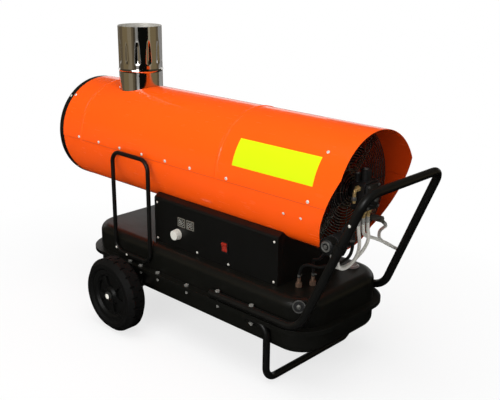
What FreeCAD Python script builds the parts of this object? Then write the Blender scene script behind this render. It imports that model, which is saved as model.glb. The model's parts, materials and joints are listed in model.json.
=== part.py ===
import FreeCAD, Part
import math
import os

# Flued diesel space heater on a two-wheel trolley. Millimetres, +Z up, +X towards the fan end.
# The origin is on the floor, under the middle of the overall length and width.

# Clearances
FIT = 0.3               # between pieces that are put together by hand
SEAT = 0.2              # under a piece that rests on another
RUN = 0.06              # radial running fit on a shaft or axle

# Air barrel: casings, hood and outlet ring
BARREL_R = 185.0        # outside of the upper casings
CASING_LENGTH = 1226.5  # outlet end to hood tip
SHEET = 1.5             # casing sheet
RING_LENGTH = 28.0      # outlet ring beyond the casings
RING_WALL = 2.0
RING_STEP = 1.0         # the ring's band stands this much below the casing's skin
RING_LIP = 15.0         # turned-in front lip
RING_CHAMFER = 4.0
SPIGOT_LENGTH = 25.0    # part of the ring that sits in the casings
FRONT_SECTION = 795.5   # length of the front upper casing that shows
JOGGLE = 20.0           # stepped lap under the rear upper casing
SEAM_DROP = 4.0         # upper casings end this far below the barrel's axis
SEAM_LAP = 18.0         # lower casing reaches this far up behind them
BEAD_WIDTH = 14.0       # pressed beads round the upper front casing
BEAD_HEIGHT = 2.0
BEAD_FRONT = 107.0      # first bead, from the casing's outlet end
BEAD_REAR = 12.0        # last bead, from the section seam
HOOD_SLANT = 91.0       # the hood's lower edge lies this much further in
HOOD_HIGH = 78.0        # top of the slanted edge above the axis
HOOD_LOW = 142.0        # foot of the slanted edge below the axis

# Flue
FLUE_R = 75.0
FLUE_WALL = 1.2
FLUE_TOP = 386.0        # above the barrel's axis
FLUE_SETBACK = 250.0    # from the outlet
FLUE_HOLE_GAP = 1.5     # round the pipe in the casing
FLUE_BEAD = 225.0       # stop bead above the barrel's axis
FLUE_BEAD_R = 2.5
FLUE_STUB = 206.0       # top of the exchanger's stub above the barrel's axis

# Heat exchanger, combustion chamber and burner
EXCHANGER_GAP = 35.0    # air gap from the casings to the exchanger
EXCHANGER_SPACE = 24.0  # thickness of the exchanger's drum
EXCHANGER_SETBACK = 90.0
EXCHANGER_LENGTH = 640.0
EXCHANGER_WALL = 2.0
CHAMBER_GAP = 14.0      # air gap from the exchanger to the chamber
CHAMBER_SETBACK = 75.0
CHAMBER_LENGTH = 750.0
CHAMBER_DISH = 260.0    # radius of the dished end
CROSSOVER_R = 40.0      # gas passage from chamber to exchanger
CROSSOVER_X = 120.0     # from the exchanger's outlet end
STRUT_WIDTH = 30.0
STRUT_LENGTH = 20.0
STRUT_INSET = 60.0
PLATE_RIM = 10.0        # burner plate outside the chamber's wall
PLATE_THICK = 3.0
BLAST_R = 55.0
BLAST_WALL = 2.0
BLAST_INSIDE = 60.0
BLAST_OUTSIDE = 110.0
DIFFUSER_THICK = 2.0
DIFFUSER_SLOTS = 8
SLOT_WIDTH = 4.0
NOZZLE_R = 9.0
NOZZLE_TIP = 4.0
NOZZLE_LENGTH = 120.0
ELECTRODE_R = 4.0
ELECTRODE_LENGTH = 90.0
ELECTRODE_RISE = 30.0
ELECTRODE_SPREAD = 10.0

# Fan, motor, guard and fuel pump
FAN_TIP_GAP = 10.0      # blade tip to casing
FAN_BLADES = 7
FAN_HUB_R = 42.0
FAN_HUB_LENGTH = 40.0
BLADE_ROOT_CHORD = 48.0
BLADE_TIP_CHORD = 86.0
BLADE_ROOT_PITCH = 48.0
BLADE_TIP_PITCH = 30.0
BLADE_THICK = 2.0
SHAFT_R = 7.0
MOTOR_R = 50.0
MOTOR_LENGTH = 60.0
MOTOR_OUT = 6.0         # motor's end outside the guard
MOTOR_BELL = 14.0       # sloped end bells
FAN_TO_MOTOR = 6.0
BRACKET_THICK = 4.0
BRACKET_ARM = 22.0
BRACKET_ARMS = 4
BRACKET_RING = 6.0
GUARD_INSET = 5.0       # guard's rear face inside the hood's lower edge
GUARD_WIRE = 3.0
GUARD_PITCH = 8.2
GUARD_BORE = 53.0
GUARD_SPOKES = 8
NOZZLE_LINE_TURN = 42.0  # nozzle line's union on the guard's rim, below level
NOZZLE_LINE_DROP = 37.0  # direction of its nipple, below level
NOZZLE_LINE_REACH = 26.0  # nipple's middle behind the guard
PUMP_NECK = 29.0        # pump's hub, a standard 32 mm round
PUMP_NECK_R = 16.0
PUMP_LENGTH = 42.0
PUMP_HALF_WIDTH = 33.0
OUTLET_STEP = 21.8      # between the fuel lines under the pump
PUMP_ABOVE = 38.0
PUMP_BELOW = 45.0
PUMP_ROUND = 9.0
PUMP_POCKET = 12.0      # shaft end in the pump
VALVE_R = 14.5
VALVE_HEIGHT = 30.0

# Fuel tank of two pressed halves
TANK_MARGIN = 7.0       # tank wall outside the barrel's side
TANK_LENGTH = 1003.0
TANK_SETBACK = 175.5    # from the outlet
TANK_CLEAR = 117.0      # floor to tank bottom
TANK_LOWER = 86.0       # height of the lower half
TANK_UPPER = 87.0       # height of the upper half
TANK_CORNER = 94.0
TANK_ROUND = 28.0       # top and bottom shoulders
TANK_WALL = 2.0
FLANGE = 24.0
SKIRT = 12.0            # turned-down edge of the upper flange
BOLT_R = 4.0
BOLT_HEAD_R = 7.5
BOLT_HEAD = 5.0
BOLT_TAIL = 24.0        # bolt end below the halves' seam
BOLT_FIRST = 382.0      # first side bolt from the tank's outlet end
BOLT_LAST = 198.0       # last side bolt from the tank's fan end
BOLT_COUNT = 4

# Tank openings and fittings
NECK_R = 26.0
NECK_WALL = 2.0
NECK_RISE = 24.0
NECK_DROP = 14.0
NECK_SETBACK = 200.0
NECK_SIDE = 120.0
NECK_FLANGE = 9.0
NECK_FLANGE_THICK = 3.0
CAP_WALL = 3.0
CAP_SKIRT = 17.0
CAP_GRIP_WIDTH = 9.0
CAP_GRIP_HEIGHT = 8.0
GAUGE_R = 21.0
GAUGE_STEM_R = 14.0
GAUGE_RISE = 5.0
GAUGE_DROP = 24.0
GAUGE_SETBACK = 85.0    # from the tank's fan end
GAUGE_SIDE = 131.0
UNION_R = 10.0
UNION_HEIGHT = 14.0
NIPPLE_R = 5.5
NIPPLE_LENGTH = 14.0
DIP_R = 4.0
DIP_CLEAR = 12.0        # dip tube's mouth above the tank's floor
FEED_SETBACK = 104.0    # from the tank's fan end
FEED_SIDE = 104.0
RETURN_SETBACK = 83.0
RETURN_SIDE = 66.0
DRAIN_R = 11.0
DRAIN_HEAD = 7.0
DRAIN_SHANK_R = 7.0
DRAIN_SETBACK = 250.0
PLUG_R = 19.0           # round plug on the near fan-end corner
PLUG_SHANK_R = 9.0
PLUG_TURN = 56.0        # round the corner, from straight back
PLUG_TILT = 12.0        # upwards
PLUG_DROP = 18.0        # below the tank's top
PLUG_PROUD = 4.0
PLUG_RIM = 4.0

# Control box between tank and barrel
BARREL_GAP = 109.0      # tank top to the barrel's underside
BOX_SETBACK = 310.0     # from the tank's outlet end
BOX_LENGTH = 546.0
BOX_WIDTH = 300.0
BOX_FACE = 152.0        # height of the front face
BOX_RETURN = 20.0       # front panel's folded returns
BOX_BEND = 10.0
BOX_WALL = 1.5
KNOB_R = 18.0
KNOB_LENGTH = 19.0
KNOB_GAP = 0.6
KNOB_SHAFT_R = 3.0
KNOB_FLUTES = 12
KNOB_X = 115.0          # from the panel's outlet end
KNOB_Z = 50.0           # above the tank top
KNOB_SIDE = 40.0        # thermostat body behind the panel
KNOB_BODY = 30.0
KNOB_REACH = 14.0       # shaft in the thermostat body
DISPLAY_X = 134.0
DISPLAY_Z = 94.0
DISPLAY_PITCH = 41.0
DISPLAY_WIDTH = 34.0
DISPLAY_HEIGHT = 30.0
DISPLAY_FRAME = 2.0
DISPLAY_PROUD = 2.5
DISPLAY_DEPTH = 12.0
SWITCH_X = 331.0
SWITCH_Z = 64.0
ROCKER_R = 15.0
ROCKER_WIDTH = 21.0
ROCKER_TILT = 10.0
ROCKER_PROUD = 6.0
ROCKER_DISH = 3.0
BEZEL = 4.0
BEZEL_PROUD = 3.0
SWITCH_DEPTH = 26.0
TRANSFORMER_LENGTH = 110.0
TRANSFORMER_WIDTH = 80.0
TRANSFORMER_HEIGHT = 62.0
TRANSFORMER_SETBACK = 36.0  # from the box's fan end
BOARD_LENGTH = 160.0
BOARD_WIDTH = 100.0
BOARD_GAP = 20.0        # between board and transformer
BOARD_STAND = 8.0
BOARD_THICK = 1.6
RELAY = 24.0
GLAND_R = 9.0
GLAND_NUT_R = 13.0
GLAND_LENGTH = 26.0
GLAND_SIDE = 95.0
GLAND_Z = 45.0

# Handle, side loops and foot
HANDLE_D = 25.0
HANDLE_CLEAR = 90.0     # hood tip to the cross bar
HANDLE_RISE = 60.0      # cross bar above the barrel's axis
HANDLE_HALF = 176.0     # half the spacing of the handle's top corners
HANDLE_BACK = 19.0      # lower bend inside the tank's fan end
HANDLE_TAIL = 24.0      # tube end beyond its first bolt
HANDLE_BEND_LOW = 70.0
HANDLE_BEND_TOP = 46.0
LOOP_D = 14.0
LOOP_SETBACK = 157.0
LOOP_WIDTH = 183.0
LOOP_FOOT = 14.0        # lower bar above the tank's flange
LOOP_DROP = 7.0         # top bar below the barrel's axis
LOOP_BEND = 36.0
FOOT_D = 22.0
FOOT_SETBACK = 137.0    # from the tank's fan end
FOOT_BEND = 40.0
FOOT_TAIL = 16.0

# Axle and wheels
WHEEL_R = 125.0
WHEEL_WIDTH = 70.0
WHEEL_GAP = 40.0        # tank flange to tyre
AXLE_R = 10.0
AXLE_SETBACK = 266.5
AXLE_ROOM = 4.0         # round the axle under the tank
COLLAR_R = 15.0
COLLAR = 8.0
HUB_R = 22.0
HUB_INSET = 8.0         # hub ends inside the tyre's faces
RIM_R = 88.0
RIM_DEPTH = 14.0        # rim band thickness
RIM_INSET = 7.0         # rim band inside the tyre's faces
WEB = 40.0              # a moulded, nearly flat centre
WEB_SLOPE = 6.0         # radial run of the web's slopes to hub and rim
RECESSES = 5            # kidney shapes pressed into both faces of the web
RECESS_DEPTH = 9.0
RECESS_ROUND = 8.0
RECESS_MARGIN = 1.5     # inside the web's flat
RECESS_SPREAD = 24.0    # half of one recess round the hub, in degrees
TYRE_SHOULDER = 16.0
TREAD_LUGS = 22
TREAD_DEPTH = 4.0
TREAD_GROOVE = 6.0
TREAD_RIB = 9.0         # plain rib round the middle of the tread
BRACKET_PLATE = 5.0
BRACKET_WIDTH = 76.0
BRACKET_TAB = 19.0
BRACKET_EAR = 20.0
NUT_R = 14.0
NUT_LENGTH = 9.0

# Fuel filter on the near handle leg
FILTER_R = 20.0
FILTER_LENGTH = 26.0    # bowl that the clamp holds
FILTER_HEAD = 70.0      # head with the hose ports
FILTER_HEAD_R = 24.0
FILTER_UP = 268.0       # height of the filter above the handle's lower run
FILTER_APART = 33.85    # filter axis to the leg's axis, square to the leg
FILTER_OUT = 12.0       # filter's near end outside the leg's axis
PORT_SPREAD = 9.0       # pump-side ports off the filter's axis
PORT_PUMP = 14.0        # pump-side ports along the head
PORT_TANK = 45.0        # tank return port along the head
PORT_FEED = 32.0        # tank feed port along the head, sloping down
PORT_R = 4.5
ELBOW_R = 17.5          # bend of the return port's pipe
ELBOW_RISE = 17.0
ELBOW_DROP = 26.0
CLAMP_WALL = 4.0
CLAMP_LENGTH = 18.0

# Hoses
BRAID_D = 10.0
RUBBER_D = 9.0

# Screw heads on the sheet metal
SCREW_R = 5.0
SCREW_TOP_R = 3.2
SCREW_HEIGHT = 3.0
SEAM_SCREWS = 6
SEAM_SCREW_FIRST = 97.0
SEAM_SCREW_PITCH = 115.0
SEAM_SCREW_RISE = 4.5   # above the barrel's axis
REAR_SCREW_FRONT = 33.0
REAR_SCREW_BACK = 92.0
HIGH_SCREW_TURN = 46.0  # screws high on the side, up from level
PANEL_SCREW_INSET = 14.0
PANEL_SCREW_LOW = 11.0

# Places worked out from the sizes above
OVERALL = RING_LENGTH + CASING_LENGTH + HANDLE_CLEAR + HANDLE_D / 2
OUTLET_X = -OVERALL / 2
CASING_X0 = OUTLET_X + RING_LENGTH
CASING_X1 = CASING_X0 + CASING_LENGTH
SECTION_X = CASING_X0 + FRONT_SECTION
HOOD_X = CASING_X1 - HOOD_SLANT
TANK_X0 = OUTLET_X + TANK_SETBACK
TANK_X1 = TANK_X0 + TANK_LENGTH
TANK_MID = (TANK_X0 + TANK_X1) / 2
TANK_HALF = BARREL_R + TANK_MARGIN
TANK_FLOOR = TANK_CLEAR
TANK_SEAM = TANK_CLEAR + TANK_LOWER
TANK_TOP = TANK_SEAM + TANK_UPPER
FLANGE_TOP = TANK_SEAM + TANK_WALL
FLANGE_UNDER = TANK_SEAM - TANK_WALL
BARREL_Z = TANK_TOP + BARREL_GAP + BARREL_R
UPPER_BORE = BARREL_R - SHEET
EXCHANGER_R = BARREL_R - EXCHANGER_GAP
EXCHANGER_BORE = EXCHANGER_R - EXCHANGER_SPACE
CHAMBER_R = EXCHANGER_BORE - CHAMBER_GAP
LOWER_R = UPPER_BORE - SEAT
LOWER_BORE = LOWER_R - SHEET
SEAM_Z = BARREL_Z - SEAM_DROP
FLUE_X = OUTLET_X + FLUE_SETBACK
EXCHANGER_X0 = OUTLET_X + EXCHANGER_SETBACK
EXCHANGER_X1 = EXCHANGER_X0 + EXCHANGER_LENGTH
CHAMBER_X0 = OUTLET_X + CHAMBER_SETBACK
CHAMBER_X1 = CHAMBER_X0 + CHAMBER_LENGTH
GUARD_X = HOOD_X - GUARD_INSET
BRACKET_X = GUARD_X - 2 * GUARD_WIRE - BRACKET_THICK
MOTOR_X1 = GUARD_X + MOTOR_OUT
MOTOR_X0 = MOTOR_X1 - MOTOR_LENGTH
PUMP_X = MOTOR_X1 + PUMP_NECK
FAN_X1 = MOTOR_X0 - FAN_TO_MOTOR
FAN_X0 = FAN_X1 - FAN_HUB_LENGTH
AXLE_X = TANK_X0 + AXLE_SETBACK
AXLE_Z = WHEEL_R
WHEEL_IN = TANK_HALF + FLANGE + WHEEL_GAP
WHEEL_OUT = WHEEL_IN + WHEEL_WIDTH
SIDE_LINE = TANK_HALF + HANDLE_D / 2 + FIT
RUN_Z = FLANGE_TOP + HANDLE_D / 2 + SEAT
BAR_X = CASING_X1 + HANDLE_CLEAR
BAR_Z = BARREL_Z + HANDLE_RISE
BEND_X = TANK_X1 - HANDLE_BACK
BOLT_SPAN = TANK_LENGTH - BOLT_FIRST - BOLT_LAST
BOLT_XS = [TANK_X0 + BOLT_FIRST + BOLT_SPAN * i / (BOLT_COUNT - 1) for i in range(BOLT_COUNT)]
BOX_X0 = TANK_X0 + BOX_SETBACK
BOX_X1 = BOX_X0 + BOX_LENGTH
BOX_HALF = BOX_WIDTH / 2
SADDLE_R = LOWER_R + SEAT
BOX_EDGE = TANK_TOP + BOX_FACE
BOX_LIP = BARREL_Z - math.sqrt(SADDLE_R ** 2 - (BOX_HALF - BOX_RETURN) ** 2)
PANEL_Y = -BOX_HALF
LOOP_X0 = TANK_X0 + LOOP_SETBACK
LOOP_Y = TANK_HALF + LOOP_D / 2 + FIT
FOOT_X = TANK_X1 - FOOT_SETBACK
FOOT_Y = TANK_HALF + FOOT_D / 2 + FIT
FOOT_Z = FLANGE_UNDER - FOOT_D / 2 - SEAT


def vec(x, y, z):
    return FreeCAD.Vector(x, y, z)


AXIS_X = vec(1, 0, 0)
AXIS_Y = vec(0, 1, 0)
AXIS_Z = vec(0, 0, 1)


def block(x0, x1, y0, y1, z0, z1):
    """Box between two corners."""
    return Part.makeBox(x1 - x0, y1 - y0, z1 - z0, vec(x0, y0, z0))


def rod(start, end, radius):
    """Round bar between two points."""
    line = end - start
    return Part.makeCylinder(radius, line.Length, start, line)


def hexagon(start, end, radius):
    """Hexagonal bar between two points, with the given corner radius."""
    line = end - start
    side = line.cross(AXIS_Z)
    if side.Length < 1e-6:
        side = AXIS_X
    side = side.normalize() * radius
    corners = []
    for i in range(7):
        turn = FreeCAD.Rotation(line, 60 * i)
        corners.append(start + turn.multVec(side))
    return Part.Face(Part.makePolygon(corners)).extrude(line)


def union(shapes):
    """Fuses a list of shapes into one clean solid."""
    first, rest = shapes[0], shapes[1:]
    return first.multiFuse(rest).removeSplitter()


def turned(points, centre, axis):
    """Revolves (along, radius) points about an axis that runs along X or Z, or along Y."""
    out = AXIS_X if axis == AXIS_Z else AXIS_Z
    corners = [centre + axis * along + out * radius for along, radius in points]
    face = Part.Face(Part.makePolygon(corners + corners[:1]))
    return face.revolve(centre, axis, 360)


def barrel_turned(points):
    """Revolves (x, radius) points about the barrel's axis."""
    return turned(points, vec(0, 0, BARREL_Z), AXIS_X)


def ring_band(x0, x1, inner, outer):
    """Plain tube wall on the barrel's axis."""
    return barrel_turned([(x0, inner), (x1, inner), (x1, outer), (x0, outer)])


def prism_y(points, y0, y1):
    """Extrudes (x, z) points along Y."""
    corners = [vec(x, y0, z) for x, z in points]
    face = Part.Face(Part.makePolygon(corners + corners[:1]))
    return face.extrude(vec(0, y1 - y0, 0))


def prism_x(points, x0, x1):
    """Extrudes (y, z) points along X."""
    corners = [vec(x0, y, z) for y, z in points]
    face = Part.Face(Part.makePolygon(corners + corners[:1]))
    return face.extrude(vec(x1 - x0, 0, 0))


def edges_where(shape, test):
    """Edges of a shape whose two end points both pass a test."""
    return [e for e in shape.Edges if all(test(v.Point) for v in e.Vertexes)]


def rounded_slab(grow, z0, z1):
    """Tank's plan outline, grown outwards, between two heights."""
    half = TANK_HALF + grow
    slab = block(TANK_X0 - grow, TANK_X1 + grow, -half, half, z0, z1)
    upright = [e for e in slab.Edges if e.BoundBox.ZLength > (z1 - z0) / 2]
    return slab.makeFillet(TANK_CORNER + grow, upright)


def path_wire(points, radii):
    """Straight runs joined by tangent arcs, one radius per inner point."""
    edges = []
    last = points[0]
    for i in range(1, len(points) - 1):
        back = (points[i - 1] - points[i]).normalize()
        ahead = (points[i + 1] - points[i]).normalize()
        half = back.getAngle(ahead) / 2
        reach = radii[i - 1] / math.tan(half)
        start = points[i] + back * reach
        end = points[i] + ahead * reach
        middle = (back + ahead).normalize()
        top = points[i] + middle * (radii[i - 1] / math.sin(half) - radii[i - 1])
        if (start - last).Length > 1e-6:
            edges.append(Part.LineSegment(last, start).toShape())
        edges.append(Part.Arc(start, top, end).toShape())
        last = end
    edges.append(Part.LineSegment(last, points[-1]).toShape())
    return Part.Wire(edges)


def swept(wire, radius):
    """Round bar along a wire."""
    start = wire.OrderedVertexes[0].Point
    first = wire.OrderedEdges[0]
    heading = first.tangentAt(first.FirstParameter)
    if (first.valueAt(first.FirstParameter) - start).Length > 1e-6:
        heading = -first.tangentAt(first.LastParameter)
    section = Part.Wire(Part.makeCircle(radius, start, heading))
    return Part.Solid(wire.makePipeShell([section], True, False))


def mirrored(shape):
    """Mirror image on the other side of the heater."""
    return shape.mirror(vec(0, 0, 0), AXIS_Y)


def both_sides(shapes):
    """The shapes and their mirror images."""
    return shapes + [mirrored(s) for s in shapes]


# Barrel

def hood_cut():
    """Everything below and behind the hood's slanted edge."""
    reach = BARREL_R + FLANGE
    low = BARREL_Z - reach
    outline = [(CASING_X1, BARREL_Z + HOOD_HIGH), (HOOD_X, BARREL_Z - HOOD_LOW), (HOOD_X, low),
               (CASING_X1 + reach, low), (CASING_X1 + reach, BARREL_Z + HOOD_HIGH)]
    return prism_y(outline, -reach, reach)


def above(z):
    """Half space above a height, wide enough for the barrel."""
    reach = 2 * BARREL_R
    return block(OUTLET_X - reach, CASING_X1 + reach, -reach, reach, z, z + 2 * reach)


def below(z):
    """Half space below a height, wide enough for the barrel."""
    reach = 2 * BARREL_R
    return block(OUTLET_X - reach, CASING_X1 + reach, -reach, reach, z - 2 * reach, z)


def bead(x):
    """Pressed bead round the barrel."""
    foot = vec(x - BEAD_WIDTH / 2, 0, BARREL_Z + BARREL_R - SHEET / 2)
    crown = vec(x, 0, BARREL_Z + BARREL_R + BEAD_HEIGHT)
    far = vec(x + BEAD_WIDTH / 2, 0, BARREL_Z + BARREL_R - SHEET / 2)
    outline = Part.Wire([Part.Arc(foot, crown, far).toShape(), Part.LineSegment(far, foot).toShape()])
    return Part.Face(outline).revolve(vec(0, 0, BARREL_Z), AXIS_X, 360)


def upper_casing_front():
    lap_r = UPPER_BORE - SEAT
    shell = ring_band(CASING_X0, SECTION_X, UPPER_BORE, BARREL_R)
    beads = [bead(CASING_X0 + BEAD_FRONT), bead(SECTION_X - BEAD_REAR)]
    step = ring_band(SECTION_X - SHEET, SECTION_X, lap_r - SHEET, BARREL_R)
    lap = ring_band(SECTION_X - SHEET, SECTION_X + JOGGLE, lap_r - SHEET, lap_r)
    lap = union([step, lap]).common(above(SEAM_Z + SEAM_LAP + FIT))
    casing = union([union([shell] + beads).common(above(SEAM_Z)), lap])
    hole = Part.makeCylinder(FLUE_R + FLUE_HOLE_GAP, 2 * BARREL_R, vec(FLUE_X, 0, BARREL_Z))
    return casing.cut(hole)


def upper_casing_rear():
    shell = ring_band(SECTION_X + SEAT, CASING_X1, UPPER_BORE, BARREL_R)
    return shell.common(above(SEAM_Z)).cut(hood_cut())


def lower_casing():
    shell = ring_band(CASING_X0, CASING_X1, LOWER_BORE, LOWER_R)
    return shell.common(below(SEAM_Z + SEAM_LAP)).cut(hood_cut())


def outlet_ring():
    band = BARREL_R - RING_STEP
    spigot = LOWER_BORE - SEAT
    bore = spigot - RING_WALL
    shoulder = CASING_X0 - SEAT
    return barrel_turned([(OUTLET_X, bore - RING_LIP), (OUTLET_X, band - RING_CHAMFER),
                          (OUTLET_X + RING_CHAMFER, band), (shoulder, band), (shoulder, spigot),
                          (CASING_X0 + SPIGOT_LENGTH, spigot), (CASING_X0 + SPIGOT_LENGTH, bore),
                          (OUTLET_X + RING_WALL, bore), (OUTLET_X + RING_WALL, bore - RING_LIP)])


def flue_pipe():
    """Plain polished pipe with a rolled stop bead."""
    centre = vec(FLUE_X, 0, BARREL_Z)
    low = EXCHANGER_R + FIT
    bore = FLUE_R - FLUE_WALL
    pipe = turned([(low, bore), (FLUE_TOP, bore), (FLUE_TOP, FLUE_R), (low, FLUE_R)], centre, AXIS_Z)
    roll = Part.makeTorus(FLUE_R - FLUE_WALL / 2, FLUE_BEAD_R, centre + AXIS_Z * FLUE_BEAD, AXIS_Z)
    inside = Part.makeCylinder(bore, FLUE_TOP, centre)
    return union([pipe, roll.cut(inside)])


# Heat exchanger and burner

def heat_exchanger():
    """Annular drum with the flue's stub on top."""
    wall = EXCHANGER_WALL
    drum = ring_band(EXCHANGER_X0, EXCHANGER_X1, EXCHANGER_BORE, EXCHANGER_R)
    void = ring_band(EXCHANGER_X0 + wall, EXCHANGER_X1 - wall, EXCHANGER_BORE + wall, EXCHANGER_R - wall)
    foot = vec(FLUE_X, 0, BARREL_Z + EXCHANGER_BORE + 2 * wall)
    height = FLUE_STUB - EXCHANGER_BORE - 2 * wall
    stub_r = FLUE_R - FLUE_WALL - FIT
    stub = Part.makeCylinder(stub_r, height, foot)
    bore = Part.makeCylinder(stub_r - wall, height, foot)
    crossing = vec(EXCHANGER_X0 + CROSSOVER_X, 0, BARREL_Z)
    gas = Part.makeCylinder(CROSSOVER_R, EXCHANGER_R - wall, crossing, -AXIS_Z)
    return union([drum, stub]).cut(void).cut(bore).cut(gas)


def dished_drum(x0, x1, radius, dish):
    """Round bar on the barrel's axis with a dished outlet end."""
    bar = Part.makeCylinder(radius, x1 - x0, vec(x0, 0, BARREL_Z), AXIS_X)
    return bar.common(Part.makeSphere(dish, vec(x0 + dish, 0, BARREL_Z)).fuse(
        Part.makeCylinder(radius + dish, x1 - x0, vec(x0 + dish, 0, BARREL_Z), AXIS_X)))


def combustion_chamber():
    """Drum closed by a dished end, with the gas passage to the exchanger below it."""
    wall = EXCHANGER_WALL
    outer = dished_drum(CHAMBER_X0, CHAMBER_X1, CHAMBER_R, CHAMBER_DISH)
    inner = dished_drum(CHAMBER_X0 + wall, CHAMBER_X1 + wall, CHAMBER_R - wall, CHAMBER_DISH - wall)
    top = vec(EXCHANGER_X0 + CROSSOVER_X, 0, BARREL_Z)
    reach = EXCHANGER_BORE + EXCHANGER_WALL
    passage = Part.makeCylinder(CROSSOVER_R - FIT, reach, top, -AXIS_Z)
    bore = Part.makeCylinder(CROSSOVER_R - FIT - wall, reach, top, -AXIS_Z)
    return union([outer, passage]).cut(inner).cut(bore)


def exchanger_brackets():
    """Struts that hold the exchanger inside the casings."""
    struts = []
    annulus = ring_band(EXCHANGER_X0, EXCHANGER_X1, EXCHANGER_R + SEAT, LOWER_BORE - SEAT)
    for x in (EXCHANGER_X0 + STRUT_INSET, EXCHANGER_X1 - STRUT_INSET):
        for turn in (45, 135, 225, 315):
            bar = block(x, x + STRUT_LENGTH, -STRUT_WIDTH / 2, STRUT_WIDTH / 2, BARREL_Z, BARREL_Z + BARREL_R)
            bar.rotate(vec(0, 0, BARREL_Z), AXIS_X, turn)
            struts.append(bar.common(annulus))
    return Part.makeCompound([s.Solids[0] for s in struts])


def burner_plate():
    plate = ring_band(CHAMBER_X1, CHAMBER_X1 + PLATE_THICK, BLAST_R + SEAT, CHAMBER_R + PLATE_RIM)
    return plate


def blast_tube():
    collar = ring_band(CHAMBER_X1 + PLATE_THICK, CHAMBER_X1 + 2 * PLATE_THICK, BLAST_R - BLAST_WALL,
                       BLAST_R + PLATE_RIM)
    tube = ring_band(CHAMBER_X1 - BLAST_INSIDE, CHAMBER_X1 + BLAST_OUTSIDE, BLAST_R - BLAST_WALL, BLAST_R)
    return union([tube, collar])


def electrode_lines():
    """Start points of the two ignition electrodes."""
    x = CHAMBER_X1 - BLAST_INSIDE
    return [vec(x, side * ELECTRODE_SPREAD, BARREL_Z + ELECTRODE_RISE) for side in (-1, 1)]


def diffuser_disc():
    """Swirl disc in the blast tube, with radial slots."""
    x = CHAMBER_X1 - BLAST_INSIDE + NOZZLE_TIP
    rim = BLAST_R - BLAST_WALL - SEAT
    disc = ring_band(x, x + DIFFUSER_THICK, NOZZLE_R + SEAT, rim)
    cuts = []
    for i in range(DIFFUSER_SLOTS):
        slot = block(x - 1, x + DIFFUSER_THICK + 1, -SLOT_WIDTH / 2, SLOT_WIDTH / 2,
                     BARREL_Z + 2 * NOZZLE_R, BARREL_Z + rim - SLOT_WIDTH)
        slot.rotate(vec(0, 0, BARREL_Z), AXIS_X, 360 * (i + 0.5) / DIFFUSER_SLOTS)
        cuts.append(slot)
    for start in electrode_lines():
        cuts.append(Part.makeCylinder(ELECTRODE_R + SEAT, ELECTRODE_LENGTH, start, AXIS_X))
    return disc.cut(Part.makeCompound(cuts)).removeSplitter()


def fuel_nozzle():
    x = CHAMBER_X1 - BLAST_INSIDE
    back = x + NOZZLE_LENGTH
    return barrel_turned([(x, 0), (back, 0), (back, NOZZLE_R), (x + NOZZLE_TIP, NOZZLE_R), (x, NOZZLE_TIP)])


def ignition_electrodes():
    return Part.makeCompound([Part.makeCylinder(ELECTRODE_R, ELECTRODE_LENGTH, start, AXIS_X)
                              for start in electrode_lines()])


# Fan end

def blade_section(radius, chord, pitch):
    """Flat blade section, square to the radius."""
    middle = vec((FAN_X0 + FAN_X1) / 2, 0, BARREL_Z + radius)
    turn = math.radians(pitch)
    along = vec(math.sin(turn), math.cos(turn), 0) * (chord / 2)
    thick = vec(math.cos(turn), -math.sin(turn), 0) * (BLADE_THICK / 2)
    corners = [middle - along - thick, middle + along - thick, middle + along + thick, middle - along + thick]
    return Part.makePolygon(corners + corners[:1])


def fan():
    """Axial fan with twisted blades on a hub."""
    chord_half = BLADE_TIP_CHORD / 2
    tip = math.sqrt((LOWER_BORE - FAN_TIP_GAP) ** 2 - chord_half ** 2)
    hub = ring_band(FAN_X0, FAN_X1, SHAFT_R + RUN, FAN_HUB_R)
    root_r = math.sqrt(FAN_HUB_R ** 2 - (BLADE_ROOT_CHORD / 2) ** 2) - BLADE_THICK
    sections = [blade_section(root_r, BLADE_ROOT_CHORD, BLADE_ROOT_PITCH),
                blade_section(tip, BLADE_TIP_CHORD, BLADE_TIP_PITCH)]
    blade = Part.makeLoft(sections, True, True)
    blades = []
    for i in range(FAN_BLADES):
        copy = blade.copy()
        copy.rotate(vec(0, 0, BARREL_Z), AXIS_X, 360 * i / FAN_BLADES)
        blades.append(copy)
    bore = Part.makeCylinder(SHAFT_R + RUN, OVERALL, vec(FAN_X0 - FAN_HUB_LENGTH, 0, BARREL_Z), AXIS_X)
    return union([hub] + blades).cut(bore)


def motor_shaft():
    return rod(vec(FAN_X0 - SHAFT_R, 0, BARREL_Z), vec(MOTOR_X1 + PUMP_POCKET - FIT, 0, BARREL_Z), SHAFT_R)


def fan_motor():
    """Motor housing with sloped end bells and a band of cooling grooves."""
    bell = MOTOR_R - MOTOR_BELL
    bore = SHAFT_R + RUN
    return barrel_turned([(MOTOR_X0, bore), (MOTOR_X0, bell), (MOTOR_X0 + MOTOR_BELL, MOTOR_R),
                          (MOTOR_X1 - MOTOR_BELL, MOTOR_R), (MOTOR_X1, bell), (MOTOR_X1, bore)])


def motor_bracket():
    """Spider that carries the motor in the barrel."""
    inner = MOTOR_R + SEAT
    ring = ring_band(BRACKET_X - BRACKET_THICK, BRACKET_X + BRACKET_THICK, inner, inner + BRACKET_RING)
    reach = LOWER_BORE - SEAT
    limit = ring_band(BRACKET_X - BRACKET_THICK, BRACKET_X + BRACKET_THICK, inner, reach)
    arms = []
    for i in range(BRACKET_ARMS):
        arm = block(BRACKET_X - BRACKET_THICK / 2, BRACKET_X + BRACKET_THICK / 2, -BRACKET_ARM / 2,
                    BRACKET_ARM / 2, BARREL_Z + MOTOR_R, BARREL_Z + BARREL_R)
        arm.rotate(vec(0, 0, BARREL_Z), AXIS_X, 360 * (i + 0.5) / BRACKET_ARMS)
        arms.append(arm.common(limit))
    return union([ring] + arms)


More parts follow.
